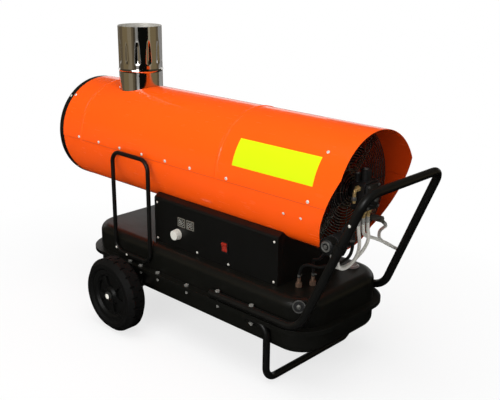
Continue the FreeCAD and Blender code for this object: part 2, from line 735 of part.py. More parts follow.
def fan_guard():
    """Concentric wire rings welded to radial spokes."""
    rim = LOWER_BORE - SEAT
    front = GUARD_X - GUARD_WIRE
    rings = []
    radius = rim
    while radius - GUARD_WIRE >= GUARD_BORE:
        rings.append(ring_band(front, GUARD_X, radius - GUARD_WIRE, radius))
        radius -= GUARD_PITCH
    inner = radius + GUARD_PITCH - GUARD_WIRE
    limit = ring_band(front - GUARD_WIRE, GUARD_X, inner, rim)
    spokes = []
    for i in range(GUARD_SPOKES):
        spoke = block(front - GUARD_WIRE, front + GUARD_WIRE / 3, -GUARD_WIRE / 2, GUARD_WIRE / 2,
                      BARREL_Z, BARREL_Z + BARREL_R)
        spoke.rotate(vec(0, 0, BARREL_Z), AXIS_X, 360 * i / GUARD_SPOKES)
        spokes.append(spoke.common(limit))
    return union(spokes + rings)


def pump_outlets():
    """Places where fuel lines leave the pump's underside: supply, nozzle line and return."""
    x = PUMP_X + PUMP_LENGTH / 2
    z = BARREL_Z - PUMP_BELOW
    return [vec(x, -OUTLET_STEP, z), vec(x, 0, z), vec(x, OUTLET_STEP, z)]


def fuel_pump():
    """Gear pump held by its round hub on the motor's end, with a pressure valve on top."""
    body = block(PUMP_X, PUMP_X + PUMP_LENGTH, -PUMP_HALF_WIDTH, PUMP_HALF_WIDTH, BARREL_Z - PUMP_BELOW,
                 BARREL_Z + PUMP_ABOVE)
    body = body.makeFillet(PUMP_ROUND, [e for e in body.Edges if e.BoundBox.XLength > PUMP_LENGTH / 2])
    neck = Part.makeCylinder(PUMP_NECK_R, PUMP_NECK + PUMP_LENGTH / 2, vec(MOTOR_X1, 0, BARREL_Z), AXIS_X)
    top = vec(PUMP_X + PUMP_LENGTH / 2, 0, BARREL_Z + PUMP_ABOVE - PUMP_ROUND)
    valve = Part.makeCylinder(VALVE_R, VALVE_HEIGHT + PUMP_ROUND, top)
    pocket = Part.makeCylinder(SHAFT_R + FIT, PUMP_POCKET, vec(MOTOR_X1, 0, BARREL_Z), AXIS_X)
    return union([body, neck, valve]).cut(pocket)


def fitting(seat, direction):
    """Hexagon union with a hose nipple, standing on a seat."""
    shoulder = seat + direction * UNION_HEIGHT
    nipple = rod(seat, shoulder + direction * NIPPLE_LENGTH, NIPPLE_R)
    return union([hexagon(seat, shoulder, UNION_R), nipple])


def fitting_end(seat, direction):
    """Point where a hose meets a fitting."""
    return seat + direction * (UNION_HEIGHT + NIPPLE_LENGTH)


def pump_fittings():
    return Part.makeCompound([fitting(seat, -AXIS_Z) for seat in pump_outlets()])


def nozzle_union_seat():
    """Face of the guard's rim, low on the far side, where the nozzle line goes in."""
    radius = LOWER_BORE - SEAT - UNION_R
    turn = math.radians(-NOZZLE_LINE_TURN)
    return vec(GUARD_X, radius * math.cos(turn), BARREL_Z + radius * math.sin(turn))


def nozzle_union_way():
    """Direction in which the nozzle line leaves its union."""
    turn = math.radians(-NOZZLE_LINE_DROP)
    return vec(0, math.cos(turn), math.sin(turn))


def nozzle_union_end():
    """Point where the nozzle line meets its union."""
    return nozzle_union_seat() + AXIS_X * NOZZLE_LINE_REACH + nozzle_union_way() * (UNION_R + NIPPLE_LENGTH)


def nozzle_union():
    """Elbow union: hexagon on the guard's rim with a nipple at its side."""
    seat = nozzle_union_seat()
    middle = seat + AXIS_X * NOZZLE_LINE_REACH
    nipple = rod(middle, nozzle_union_end(), NIPPLE_R)
    return union([hexagon(seat, middle + AXIS_X * UNION_R, UNION_R), nipple])


# Tank

def bolt_places():
    """Plan positions of the near-side flange bolts: the axle bracket's pair, then the row."""
    ears = [AXLE_X - BRACKET_WIDTH / 2 + BRACKET_EAR / 2, AXLE_X + BRACKET_WIDTH / 2 - BRACKET_EAR / 2]
    return [(x, -SIDE_LINE) for x in ears + BOLT_XS]


def bolt_holes():
    """Upright holes for all flange bolts."""
    holes = []
    for x, y in bolt_places():
        low = FLANGE_UNDER - BOLT_TAIL - FOOT_D
        holes.append(Part.makeCylinder(BOLT_R + FIT, RUN_Z + HANDLE_D - low, vec(x, y, low)))
    return Part.makeCompound(both_sides(holes))


def top_openings():
    """Filler neck, gauge, feed and return fittings on the tank's top, each with its hole's radius."""
    return [(vec(TANK_X0 + NECK_SETBACK, NECK_SIDE, TANK_TOP), NECK_R),
            (vec(TANK_X1 - GAUGE_SETBACK, GAUGE_SIDE, TANK_TOP), GAUGE_STEM_R),
            (vec(TANK_X1 - FEED_SETBACK, -FEED_SIDE, TANK_TOP), DIP_R),
            (vec(TANK_X1 - RETURN_SETBACK, -RETURN_SIDE, TANK_TOP), DIP_R)]


def tank_upper():
    """Upper pressing: rounded lid with a turned-down flange."""
    wall = TANK_WALL
    outer = rounded_slab(0, TANK_SEAM, TANK_TOP)
    outer = outer.makeFillet(TANK_ROUND, edges_where(outer, lambda p: p.z > TANK_TOP - 1e-3))
    inner = rounded_slab(-wall, TANK_SEAM - 1, TANK_TOP - wall)
    inner = inner.makeFillet(TANK_ROUND - wall, edges_where(inner, lambda p: p.z > TANK_TOP - wall - 1e-3))
    flange = rounded_slab(FLANGE, TANK_SEAM, FLANGE_TOP)
    skirt = rounded_slab(FLANGE, FLANGE_TOP - SKIRT, FLANGE_TOP).cut(
        rounded_slab(FLANGE - wall, FLANGE_TOP - SKIRT, FLANGE_TOP))
    lid = union([outer, flange, skirt]).cut(inner)
    plug_start = plug_foot() - plug_way() * 2 * PLUG_R
    lid = lid.cut(Part.makeCylinder(PLUG_SHANK_R + FIT, 4 * PLUG_R, plug_start, plug_way()))
    holes = [Part.makeCylinder(r + FIT, TANK_UPPER, p - AXIS_Z * TANK_UPPER / 2) for p, r in top_openings()]
    return lid.cut(Part.makeCompound(holes)).cut(bolt_holes())


def axle_channel(grow):
    """Room for the axle across the tank's floor."""
    radius = AXLE_R + AXLE_ROOM + grow
    start = vec(AXLE_X, -TANK_HALF - FLANGE, AXLE_Z)
    width = 2 * (TANK_HALF + FLANGE)
    tunnel = Part.makeCylinder(radius, width, start, AXIS_Y)
    slot = block(AXLE_X - radius, AXLE_X + radius, start.y, start.y + width, 0, AXLE_Z)
    return union([tunnel, slot])


def tank_lower():
    """Lower pressing: tray with a flange and a channel for the axle."""
    wall = TANK_WALL
    outer = rounded_slab(0, TANK_FLOOR, TANK_SEAM)
    outer = outer.makeFillet(TANK_ROUND, edges_where(outer, lambda p: p.z < TANK_FLOOR + 1e-3))
    inner = rounded_slab(-wall, TANK_FLOOR + wall, TANK_SEAM + 1)
    inner = inner.makeFillet(TANK_ROUND - wall, edges_where(inner, lambda p: p.z < TANK_FLOOR + wall + 1e-3))
    flange = rounded_slab(FLANGE - wall - FIT, FLANGE_UNDER, TANK_SEAM)
    tray = union([outer.cut(axle_channel(0)), flange]).cut(inner.cut(axle_channel(wall)))
    drain = Part.makeCylinder(DRAIN_SHANK_R + FIT, TANK_LOWER, drain_seat() - AXIS_Z * wall)
    return tray.cut(drain).cut(bolt_holes())


def plug_way():
    """Outward direction of the corner plug."""
    turn = math.radians(PLUG_TURN)
    rise = math.radians(PLUG_TILT)
    return vec(math.cos(turn) * math.cos(rise), -math.sin(turn) * math.cos(rise), math.sin(rise))


def plug_foot():
    """Point of the tank's near fan-end corner under the plug's middle."""
    turn = math.radians(PLUG_TURN)
    middle = vec(TANK_X1 - TANK_CORNER, -TANK_HALF + TANK_CORNER, TANK_TOP - PLUG_DROP)
    return middle + vec(math.cos(turn), -math.sin(turn), 0) * TANK_CORNER


def tank_plug():
    """Round plug that follows the corner's curve, with a raised rim and a middle button."""
    foot, way = plug_foot(), plug_way()
    grown = rounded_slab(SEAT, TANK_SEAM, TANK_TOP + SEAT)
    grown = grown.makeFillet(TANK_ROUND + SEAT, edges_where(grown, lambda p: p.z > TANK_TOP))
    disc = Part.makeCylinder(PLUG_R, PLUG_R + PLUG_PROUD, foot - way * PLUG_R, way)
    groove = Part.makeCylinder(PLUG_R - PLUG_RIM, PLUG_R, foot + way * PLUG_PROUD / 2, way)
    button = Part.makeCylinder(PLUG_R / 3, PLUG_PROUD, foot, way)
    shank = Part.makeCylinder(PLUG_SHANK_R, PLUG_SHANK_R + PLUG_PROUD / 2, foot - way * PLUG_SHANK_R, way)
    return union([disc.cut(groove).cut(grown), button.cut(grown), shank])


def drain_seat():
    """Place of the drain plug on the tank's floor."""
    return vec(TANK_X1 - DRAIN_SETBACK, 0, TANK_FLOOR)


def drain_plug():
    seat = drain_seat()
    return union([hexagon(seat - AXIS_Z * DRAIN_HEAD, seat, DRAIN_R),
                  rod(seat - AXIS_Z * DRAIN_HEAD, seat + AXIS_Z * 3 * TANK_WALL, DRAIN_SHANK_R)])


def filler_neck():
    """Short neck with a flange on the tank's top."""
    seat = top_openings()[0][0]
    bore = NECK_R - NECK_WALL
    return turned([(-NECK_DROP, bore), (NECK_RISE, bore), (NECK_RISE, NECK_R), (NECK_FLANGE_THICK, NECK_R),
                   (NECK_FLANGE_THICK, NECK_R + NECK_FLANGE), (0, NECK_R + NECK_FLANGE), (0, NECK_R),
                   (-NECK_DROP, NECK_R)], seat, AXIS_Z)


def filler_cap():
    """Cap with a finger bar, turned a quarter to open."""
    seat = top_openings()[0][0]
    top = NECK_RISE + FIT
    bore = NECK_R + FIT
    low = top - CAP_SKIRT
    shell = turned([(low, bore), (top, bore), (top, 0), (top + CAP_WALL, 0), (top + CAP_WALL, bore),
                    (top, bore + CAP_WALL), (low, bore + CAP_WALL)], seat, AXIS_Z)
    grip = block(seat.x - bore + CAP_WALL, seat.x + bore - CAP_WALL, seat.y - CAP_GRIP_WIDTH / 2,
                 seat.y + CAP_GRIP_WIDTH / 2, seat.z + top, seat.z + top + CAP_WALL + CAP_GRIP_HEIGHT)
    grip = grip.makeFillet(CAP_GRIP_WIDTH / 3, edges_where(grip, lambda p: p.z > seat.z + top + CAP_WALL))
    return union([shell, grip])


def fuel_gauge():
    """Float gauge with a low dial on the tank's top."""
    seat = top_openings()[1][0]
    stem = [(-GAUGE_DROP, 0), (-GAUGE_DROP, GAUGE_STEM_R), (0, GAUGE_STEM_R)]
    dial = [(0, GAUGE_R), (GAUGE_RISE / 2, GAUGE_R), (GAUGE_RISE, GAUGE_R - GAUGE_RISE), (GAUGE_RISE, 0)]
    return turned(stem + dial, seat, AXIS_Z)


def tank_fittings():
    """Feed and return unions with their dip tubes."""
    pieces = []
    for seat, radius in top_openings()[2:]:
        mouth = vec(seat.x, seat.y, TANK_FLOOR + TANK_WALL + DIP_CLEAR)
        pieces.append(union([fitting(seat, AXIS_Z), rod(mouth, seat + AXIS_Z, radius)]))
    return Part.makeCompound(pieces)


def tank_bolts():
    """Flange bolts with their nuts; those beyond the handle's end go through its tube and the foot's."""
    pieces = []
    for x, y in bolt_places():
        head = RUN_Z + HANDLE_D / 2 if x > handle_start() else FLANGE_TOP
        under = FLANGE_UNDER
        if abs(x - AXLE_X) < BRACKET_WIDTH / 2:
            under = FLANGE_UNDER - BRACKET_PLATE
        if x > foot_start():
            under = FOOT_Z - FOOT_D / 2
        tail = min(TANK_SEAM - BOLT_TAIL, under - 2 * BOLT_HEAD)
        bolt = union([hexagon(vec(x, y, head), vec(x, y, head + BOLT_HEAD), BOLT_HEAD_R),
                      rod(vec(x, y, tail), vec(x, y, head + BOLT_HEAD), BOLT_R)])
        nut = hexagon(vec(x, y, under - BOLT_HEAD), vec(x, y, under), BOLT_HEAD_R)
        pieces += [bolt, nut.cut(Part.makeCylinder(BOLT_R + RUN, 2 * TANK_CLEAR, vec(x, y, 0)))]
    return Part.makeCompound(both_sides(pieces))


# Control box

def box_section(inset):
    """Box outline across the heater, drawn in by a wall thickness; (y, z) points."""
    half = BOX_HALF - inset
    low = TANK_TOP - inset
    lip = BOX_HALF - BOX_RETURN
    return [(-half, low), (half, low), (half, BOX_EDGE - inset), (lip, BOX_LIP - inset),
            (-lip, BOX_LIP - inset), (-half, BOX_EDGE - inset)]


def box_shell():
    """Folded sheet box whose top is open to the barrel's underside."""
    outer = prism_x(box_section(0), BOX_X0, BOX_X1)
    bends = edges_where(outer, lambda p: abs(p.z - BOX_EDGE) < 1e-3)
    outer = outer.makeFillet(BOX_BEND, [e for e in bends if e.BoundBox.XLength > BOX_LENGTH / 2])
    inner = prism_x(box_section(BOX_WALL), BOX_X0 + BOX_WALL, BOX_X1 - BOX_WALL)
    barrel = Part.makeCylinder(SADDLE_R, OVERALL, vec(OUTLET_X, 0, BARREL_Z), AXIS_X)
    return outer.cut(inner).cut(barrel)


def near_part():
    """Half space that holds the front panel and its returns."""
    edge = -BOX_HALF + BOX_RETURN
    return block(BOX_X0 - 1, BOX_X1 + 1, -BOX_WIDTH, edge, 0, BARREL_Z)


def panel_point(x, z, out=0.0):
    """Point on the panel's face, measured from its lower outlet corner."""
    return vec(BOX_X0 + x, PANEL_Y - out, TANK_TOP + z)


def panel_window(x, z, width, height):
    """Rectangular hole through the panel."""
    p = panel_point(x, z)
    return block(p.x - width / 2, p.x + width / 2, p.y - BOX_WALL, p.y + 2 * BOX_WALL, p.z - height / 2,
                 p.z + height / 2)


def display_places():
    return [DISPLAY_X, DISPLAY_X + DISPLAY_PITCH]


def control_panel():
    """Front panel with its folded returns and the openings for its controls."""
    panel = box_shell().common(near_part())
    cuts = [panel_window(SWITCH_X, SWITCH_Z, ROCKER_WIDTH + 2 * FIT + BEZEL, 2 * (ROCKER_R + FIT) + BEZEL)]
    for x in display_places():
        wide = DISPLAY_WIDTH - 2 * DISPLAY_FRAME
        cuts.append(panel_window(x, DISPLAY_Z, wide, DISPLAY_HEIGHT - 2 * DISPLAY_FRAME))
    knob_place = panel_point(KNOB_X, KNOB_Z, BOX_WALL)
    cuts.append(Part.makeCylinder(KNOB_SHAFT_R + FIT, 4 * BOX_WALL, knob_place, AXIS_Y))
    return panel.cut(Part.makeCompound(cuts))


def control_box():
    """Back and ends of the box, folded from one sheet."""
    gap = near_part()
    gap.translate(vec(0, FIT, 0))
    carcass = box_shell().cut(gap)
    hole = Part.makeCylinder(GLAND_R + FIT, 4 * BOX_WALL, gland_seat() - AXIS_X * 2 * BOX_WALL, AXIS_X)
    return carcass.cut(hole)


def gland_seat():
    """Outside of the box's fan end, where the mains lead goes in."""
    return vec(BOX_X1, GLAND_SIDE, TANK_TOP + GLAND_Z)


def cable_gland():
    seat = gland_seat()
    back = seat - AXIS_X * 2 * GLAND_R
    slope = GLAND_LENGTH - GLAND_R / 2
    profile = [(0, 0), (GLAND_LENGTH, 0), (GLAND_LENGTH, GLAND_R), (slope, GLAND_NUT_R), (0, GLAND_NUT_R)]
    body = turned(profile, seat, AXIS_X)
    bore = Part.makeCylinder(GLAND_R / 2, 2 * GLAND_LENGTH, seat, AXIS_X)
    return union([body, rod(back, seat + AXIS_X, GLAND_R)]).cut(bore)


def thermostat_body():
    """Thermostat behind the panel, with the bearing for the knob's shaft."""
    p = panel_point(KNOB_X, KNOB_Z, -BOX_WALL)
    half = KNOB_SIDE / 2
    body = block(p.x - half, p.x + half, p.y, p.y + KNOB_BODY, p.z - half, p.z + half)
    upright = [e for e in body.Edges if e.BoundBox.YLength > KNOB_BODY / 2]
    body = body.makeFillet(half / 4, upright)
    return body.cut(Part.makeCylinder(KNOB_SHAFT_R + RUN, KNOB_REACH + FIT, p, AXIS_Y))


def thermostat_knob():
    """Fluted knob on a short shaft."""
    face = panel_point(KNOB_X, KNOB_Z, KNOB_GAP)
    front = face - AXIS_Y * KNOB_LENGTH
    head = Part.makeCone(KNOB_R, KNOB_R * 0.88, KNOB_LENGTH, face, -AXIS_Y)
    cuts = []
    for i in range(KNOB_FLUTES):
        turn = 2 * math.pi * i / KNOB_FLUTES
        foot = front + vec(math.cos(turn), 0, math.sin(turn)) * (KNOB_R + KNOB_GAP)
        cuts.append(Part.makeCylinder(KNOB_R / 9, KNOB_LENGTH * 0.8, foot, AXIS_Y))
    pointer = block(front.x - KNOB_R / 12, front.x + KNOB_R / 12, front.y - 1, front.y + KNOB_GAP,
                    front.z + KNOB_R / 3, front.z + KNOB_R)
    head = head.cut(Part.makeCompound(cuts + [pointer]))
    shaft = rod(face, face + AXIS_Y * (KNOB_GAP + BOX_WALL + KNOB_REACH), KNOB_SHAFT_R)
    return union([head, shaft])


def digit_displays():
    """Two single-digit display modules in the panel."""
    pieces = []
    for x in display_places():
        face = panel_point(x, DISPLAY_Z)
        front = face.y - DISPLAY_PROUD
        wide = DISPLAY_WIDTH / 2
        high = DISPLAY_HEIGHT / 2
        plate = block(face.x - wide, face.x + wide, front, face.y, face.z - high, face.z + high)
        wide -= DISPLAY_FRAME + FIT
        high -= DISPLAY_FRAME + FIT
        back = face.y + DISPLAY_DEPTH
        module = block(face.x - wide, face.x + wide, front, back, face.z - high, face.z + high)
        pieces.append(union([plate, module]))
    return Part.makeCompound(pieces)


def rocker_pivot():
    """Point on the rocker's pin, behind the panel's face."""
    return panel_point(SWITCH_X, SWITCH_Z, -ROCKER_PROUD / 2)


def switch_body():
    """Switch housing with its bezel and the rocker's well."""
    p = panel_point(SWITCH_X, SWITCH_Z)
    half_x = ROCKER_WIDTH / 2 + FIT
    half_z = ROCKER_R + FIT
    rim = BEZEL
    front = p.y - BEZEL_PROUD
    bezel = block(p.x - half_x - rim, p.x + half_x + rim, front, p.y, p.z - half_z - rim, p.z + half_z + rim)
    edge = BEZEL / 2 - FIT
    house = block(p.x - half_x - edge, p.x + half_x + edge, front, p.y + SWITCH_DEPTH,
                  p.z - half_z - edge, p.z + half_z + edge)
    well = block(p.x - half_x, p.x + half_x, front - BEZEL_PROUD, p.y + ROCKER_R + ROCKER_PROUD,
                 p.z - half_z, p.z + half_z)
    half_pin = AXIS_X * (half_x + edge / 2)
    pin = rod(rocker_pivot() - half_pin, rocker_pivot() + half_pin, BEZEL / 2)
    return union([bezel, house]).cut(well).fuse(pin).removeSplitter()


def rocker_switch():
    """Rocker at its off tilt, pivoting on the housing's pin."""
    pivot = rocker_pivot()
    half = ROCKER_WIDTH / 2
    drum = Part.makeCylinder(ROCKER_R, ROCKER_WIDTH, pivot - AXIS_X * half, AXIS_X)
    front = pivot.y - ROCKER_PROUD
    back = pivot.y + ROCKER_PROUD
    outline = [(back, pivot.z - ROCKER_R), (front - ROCKER_DISH, pivot.z - ROCKER_R), (front, pivot.z),
               (front - ROCKER_DISH, pivot.z + ROCKER_R), (back, pivot.z + ROCKER_R)]
    rocker = drum.common(prism_x(outline, pivot.x - half, pivot.x + half))
    rocker = rocker.cut(Part.makeCylinder(BEZEL / 2 + RUN, OVERALL, vec(OUTLET_X, pivot.y, pivot.z), AXIS_X))
    rocker.rotate(pivot, AXIS_X, ROCKER_TILT)
    return rocker


def ignition_transformer():
    """Potted transformer with two high-voltage posts."""
    x = BOX_X1 - TRANSFORMER_SETBACK - TRANSFORMER_LENGTH
    half = TRANSFORMER_WIDTH / 2
    body = block(x, x + TRANSFORMER_LENGTH, -half, half, TANK_TOP, TANK_TOP + TRANSFORMER_HEIGHT)
    upright = [e for e in body.Edges if e.BoundBox.ZLength > TRANSFORMER_HEIGHT / 2]
    body = body.makeFillet(half / 5, upright)
    feet = [vec(x + half / 2, side * half / 2, TANK_TOP + TRANSFORMER_HEIGHT) for side in (-1, 1)]
    posts = [Part.makeCone(half / 5, half / 8, half / 3, foot) for foot in feet]
    return union([body] + posts)


def control_board():
    """Circuit board on four pillars, with its relays."""
    x = BOX_X1 - TRANSFORMER_SETBACK - TRANSFORMER_LENGTH - BOARD_GAP - BOARD_LENGTH
    half = BOARD_WIDTH / 2
    z = TANK_TOP + BOARD_STAND
    board = block(x, x + BOARD_LENGTH, -half, half, z, z + BOARD_THICK)
    parts = [board]
    for px in (x + BOARD_STAND, x + BOARD_LENGTH - BOARD_STAND):
        for py in (-half + BOARD_STAND, half - BOARD_STAND):
            foot = vec(px, py, TANK_TOP)
            parts.append(Part.makeCylinder(BOARD_STAND / 2, BOARD_STAND + BOARD_THICK / 2, foot))
    for i in range(3):
        left = x + BOARD_LENGTH * (0.2 + 0.25 * i)
        parts.append(block(left, left + RELAY, -RELAY / 2, RELAY / 2, z + BOARD_THICK / 2, z + RELAY))
    return union(parts)


# Handle, loops and foot

def handle_start():
    return BOLT_XS[-2] - HANDLE_TAIL


def foot_start():
    return BOLT_XS[-1] - FOOT_TAIL


def leg_point(up):
    """Point on the near handle leg at a height above the lower run."""
    low = vec(BEND_X, -SIDE_LINE, RUN_Z)
    high = vec(BAR_X, -HANDLE_HALF, BAR_Z)
    return low + (high - low) * (up / (BAR_Z - RUN_Z))


def leg_way():
    """Direction of the near handle leg, upwards."""
    return (leg_point(BAR_Z - RUN_Z) - leg_point(0)).normalize()


def handle_tube():
    """One bent tube: both lower runs, both legs and the cross bar."""
    near = [vec(handle_start(), -SIDE_LINE, RUN_Z), leg_point(0), leg_point(BAR_Z - RUN_Z)]
    far = [vec(p.x, -p.y, p.z) for p in reversed(near)]
    bends = [HANDLE_BEND_LOW, HANDLE_BEND_TOP, HANDLE_BEND_TOP, HANDLE_BEND_LOW]
    tube = swept(path_wire(near + far, bends), HANDLE_D / 2)
    ends = [Part.makeSphere(HANDLE_D / 2, p) for p in (near[0], far[-1])]
    return union([tube] + ends).cut(bolt_holes())


def support_loop():
    """Closed round-cornered loop against the near tank wall, beside the barrel."""
    low = FLANGE_TOP + LOOP_FOOT + LOOP_D / 2
    high = BARREL_Z - LOOP_DROP
    x0, x1 = LOOP_X0, LOOP_X0 + LOOP_WIDTH
    middle = (x0 + x1) / 2
    corners = [(middle, low), (x1, low), (x1, high), (x0, high), (x0, low), (middle, low)]
    points = [vec(x, -LOOP_Y, z) for x, z in corners]
    return swept(path_wire(points, [LOOP_BEND] * 4), LOOP_D / 2)


def foot_tube():
    """Bent tube that the fan end stands on, bolted under the tank's flange."""
    low = FOOT_D / 2
    near = [vec(foot_start(), -FOOT_Y, FOOT_Z), vec(FOOT_X, -FOOT_Y, FOOT_Z), vec(FOOT_X, -FOOT_Y, low)]
    far = [vec(p.x, -p.y, p.z) for p in reversed(near)]
    tube = swept(path_wire(near + far, [FOOT_BEND] * 4), FOOT_D / 2)
    return tube.cut(bolt_holes())


# Axle and wheels

def axle_bracket():
    """Near-side plate under the flange that carries the axle."""
    y1 = -TANK_HALF - FIT
    y0 = y1 - BRACKET_PLATE
    half = BRACKET_WIDTH / 2
    low = AXLE_Z - BRACKET_EAR
    plate = prism_y([(AXLE_X - half, FLANGE_UNDER), (AXLE_X + half, FLANGE_UNDER),
                     (AXLE_X + BRACKET_EAR, AXLE_Z), (AXLE_X + BRACKET_EAR, low), (AXLE_X - BRACKET_EAR, low),
                     (AXLE_X - BRACKET_EAR, AXLE_Z)], y0, y1)
    tab = block(AXLE_X - half, AXLE_X + half, y1 - BRACKET_TAB, y1,
                FLANGE_UNDER - BRACKET_PLATE, FLANGE_UNDER)
    bore = Part.makeCylinder(AXLE_R + RUN, 2 * TANK_HALF, vec(AXLE_X, -2 * TANK_HALF, AXLE_Z), AXIS_Y)
    return union([plate, tab]).cut(bore).cut(bolt_holes())


def axle():
    """Bar through both brackets, with a collar inside each wheel."""
    end = WHEEL_OUT - HUB_INSET + NUT_LENGTH - COLLAR / 2
    bar = rod(vec(AXLE_X, -end, AXLE_Z), vec(AXLE_X, end, AXLE_Z), AXLE_R)
    inner = WHEEL_IN + HUB_INSET - FIT
    collars = [rod(vec(AXLE_X, side * (inner - COLLAR), AXLE_Z), vec(AXLE_X, side * inner, AXLE_Z), COLLAR_R)
               for side in (-1, 1)]
    return union([bar] + collars)


def axle_nuts():
    """Cap nuts outside the hubs."""
    start = WHEEL_OUT - HUB_INSET + FIT
    nuts = []
    for side in (-1, 1):
        outer = vec(AXLE_X, side * (start + NUT_LENGTH), AXLE_Z)
        cap = hexagon(vec(AXLE_X, side * start, AXLE_Z), outer, NUT_R)
        bore = Part.makeCylinder(AXLE_R + RUN, NUT_LENGTH - COLLAR / 2, vec(AXLE_X, side * start, AXLE_Z),
                                 AXIS_Y * side)
        nuts.append(cap.cut(bore))
    return Part.makeCompound(nuts)


def web_recess(foot, inner, outer, turn):
    """Kidney shape between two radii, with rounded corners, from a foot point along the axle."""
    spread = math.radians(RECESS_SPREAD)

    def place(radius, angle):
        return foot + vec(radius * math.cos(angle), 0, radius * math.sin(angle))

    a, b = place(inner, turn - spread), place(outer, turn - spread)
    c, d = place(outer, turn + spread), place(inner, turn + spread)
    edges = [Part.makeLine(a, b), Part.Arc(b, place(outer, turn), c).toShape(), Part.makeLine(c, d),
             Part.Arc(d, place(inner, turn), a).toShape()]
    kidney = Part.Face(Part.Wire(edges)).extrude(AXIS_Y * RECESS_DEPTH)
    corners = [e for e in kidney.Edges if e.BoundBox.YLength > RECESS_DEPTH / 2]
    return kidney.makeFillet(RECESS_ROUND, corners)


def wheel_rim():
    """Near wheel's centre: hub, flat web with kidney recesses, and rim band."""
    centre = vec(AXLE_X, -(WHEEL_IN + WHEEL_OUT) / 2, AXLE_Z)
    half = WHEEL_WIDTH / 2
    hub = half - HUB_INSET
    band = half - RIM_INSET
    inner = RIM_R - RIM_DEPTH
    near_hub = HUB_R + WEB_SLOPE
    near_rim = inner - WEB_SLOPE
    half_profile = [(hub, AXLE_R + RUN), (hub, HUB_R), (WEB / 2, near_hub), (WEB / 2, near_rim)]
    half_profile += [(band, inner), (band, RIM_R)]
    mirrored = [(-y, radius) for y, radius in half_profile]
    rim = turned(mirrored + half_profile[::-1], centre, AXIS_Y)
    recesses = []
    for i in range(RECESSES):
        turn = 2 * math.pi * i / RECESSES + math.pi / 2
        for face in (-WEB / 2, WEB / 2 - RECESS_DEPTH):
            foot = centre + AXIS_Y * face
            recesses.append(web_recess(foot, near_hub + RECESS_MARGIN, near_rim - RECESS_MARGIN, turn))
    return rim.cut(Part.makeCompound(recesses))


def tyre():
    """Near tyre: solid rubber with cross grooves on both sides of a middle rib."""
    centre = vec(AXLE_X, -(WHEEL_IN + WHEEL_OUT) / 2, AXLE_Z)
    half = WHEEL_WIDTH / 2
    bore = RIM_R + SEAT
    crown = half - TYRE_SHOULDER
    face = WHEEL_R - TYRE_SHOULDER
    half_profile = [(half - RIM_INSET, bore), (half, bore + RIM_INSET), (half, face), (crown, WHEEL_R)]
    mirrored = [(-y, radius) for y, radius in half_profile]
    body = turned(mirrored + half_profile[::-1], centre, AXIS_Y)
    grooves = []
    for i in range(TREAD_LUGS):
        for side in (-1, 1):
            y = centre.y + side * (half + TREAD_RIB / 2) / 2
            reach = (half - TREAD_RIB / 2) / 2
            groove = block(centre.x - TREAD_GROOVE / 2, centre.x + TREAD_GROOVE / 2, y - reach, y + reach,
                           centre.z + WHEEL_R - TREAD_DEPTH, centre.z + WHEEL_R + TREAD_DEPTH)
            groove.rotate(centre, AXIS_Y, 360 * (i + 0.25 * side) / TREAD_LUGS)
            grooves.append(groove)
    return body.cut(Part.makeCompound(grooves))


# Fuel filter

def filter_axis():
    """Near end of the filter's bowl; its axis runs along Y."""
    leg = leg_point(FILTER_UP)
    shift = FILTER_APART / leg_way().z
    return vec(leg.x - shift, leg.y - FILTER_OUT, leg.z)


def feed_way():
    """Direction of the filter's feed port: to the outlet end and down."""
    return vec(-1, 0, -1).normalize()


def filter_ports():
    """Ends of the filter's ports: pump supply, pump return, tank feed and tank return."""
    p = filter_axis()
    pump_y = p.y + FILTER_LENGTH + PORT_PUMP
    tank_y = p.y + FILTER_LENGTH + PORT_TANK
    low = p.z - FILTER_HEAD_R - NIPPLE_LENGTH / 2
    top = p.z + FILTER_HEAD_R + ELBOW_RISE
    return [vec(p.x + PORT_SPREAD, pump_y, low), vec(p.x - PORT_SPREAD, pump_y, low),
            vec(p.x, p.y + FILTER_LENGTH + PORT_FEED, p.z) + feed_way() * (FILTER_HEAD_R + NIPPLE_LENGTH),
            vec(p.x + 2 * ELBOW_R + SEAT, tank_y, top - ELBOW_DROP)]


def fuel_filter():
    """Filter bowl and head with three straight ports and a bent return pipe."""
    p = filter_axis()
    round_r = FILTER_R / 4
    bowl = turned([(0, 0), (0, FILTER_R - round_r), (round_r, FILTER_R), (FILTER_LENGTH, FILTER_R),
                   (FILTER_LENGTH, FILTER_HEAD_R), (FILTER_LENGTH + FILTER_HEAD, FILTER_HEAD_R),
                   (FILTER_LENGTH + FILTER_HEAD, 0)], p, AXIS_Y)
    supply, back, feed, drain = filter_ports()
    ports = [rod(vec(end.x, end.y, p.z), end, PORT_R) for end in (supply, back)]
    ports.append(rod(vec(p.x, feed.y, p.z), feed, PORT_R))
    top = p.z + FILTER_HEAD_R + ELBOW_RISE
    bend = [vec(p.x, drain.y, p.z), vec(p.x, drain.y, top), vec(drain.x, drain.y, top), drain]
    ports.append(swept(path_wire(bend, [ELBOW_R, ELBOW_R]), PORT_R))
    return union([bowl] + ports)


def filter_clamp():
    """Double ring that holds the filter to the handle's leg."""
    leg = leg_point(FILTER_UP)
    along = leg_way()
    p = filter_axis()
    half = CLAMP_LENGTH / 2
    y = leg.y
    leg_ring = rod(leg - along * half, leg + along * half, HANDLE_D / 2 + SEAT + CLAMP_WALL)
    bowl_ring = rod(vec(p.x, y - half, p.z), vec(p.x, y + half, p.z), FILTER_R + SEAT + CLAMP_WALL)
    bridge = block(p.x, leg.x, y - half, y + half, p.z - half, p.z + half)
    reach = along * 3 * (FILTER_R + CLAMP_WALL)
    tube_hole = rod(leg - reach, leg + reach, HANDLE_D / 2 + SEAT)
    bowl_hole = rod(vec(p.x, y - 3 * half, p.z), vec(p.x, y + 3 * half, p.z), FILTER_R + SEAT)
    return union([leg_ring, bowl_ring, bridge]).cut(tube_hole).cut(bowl_hole)


# Hoses

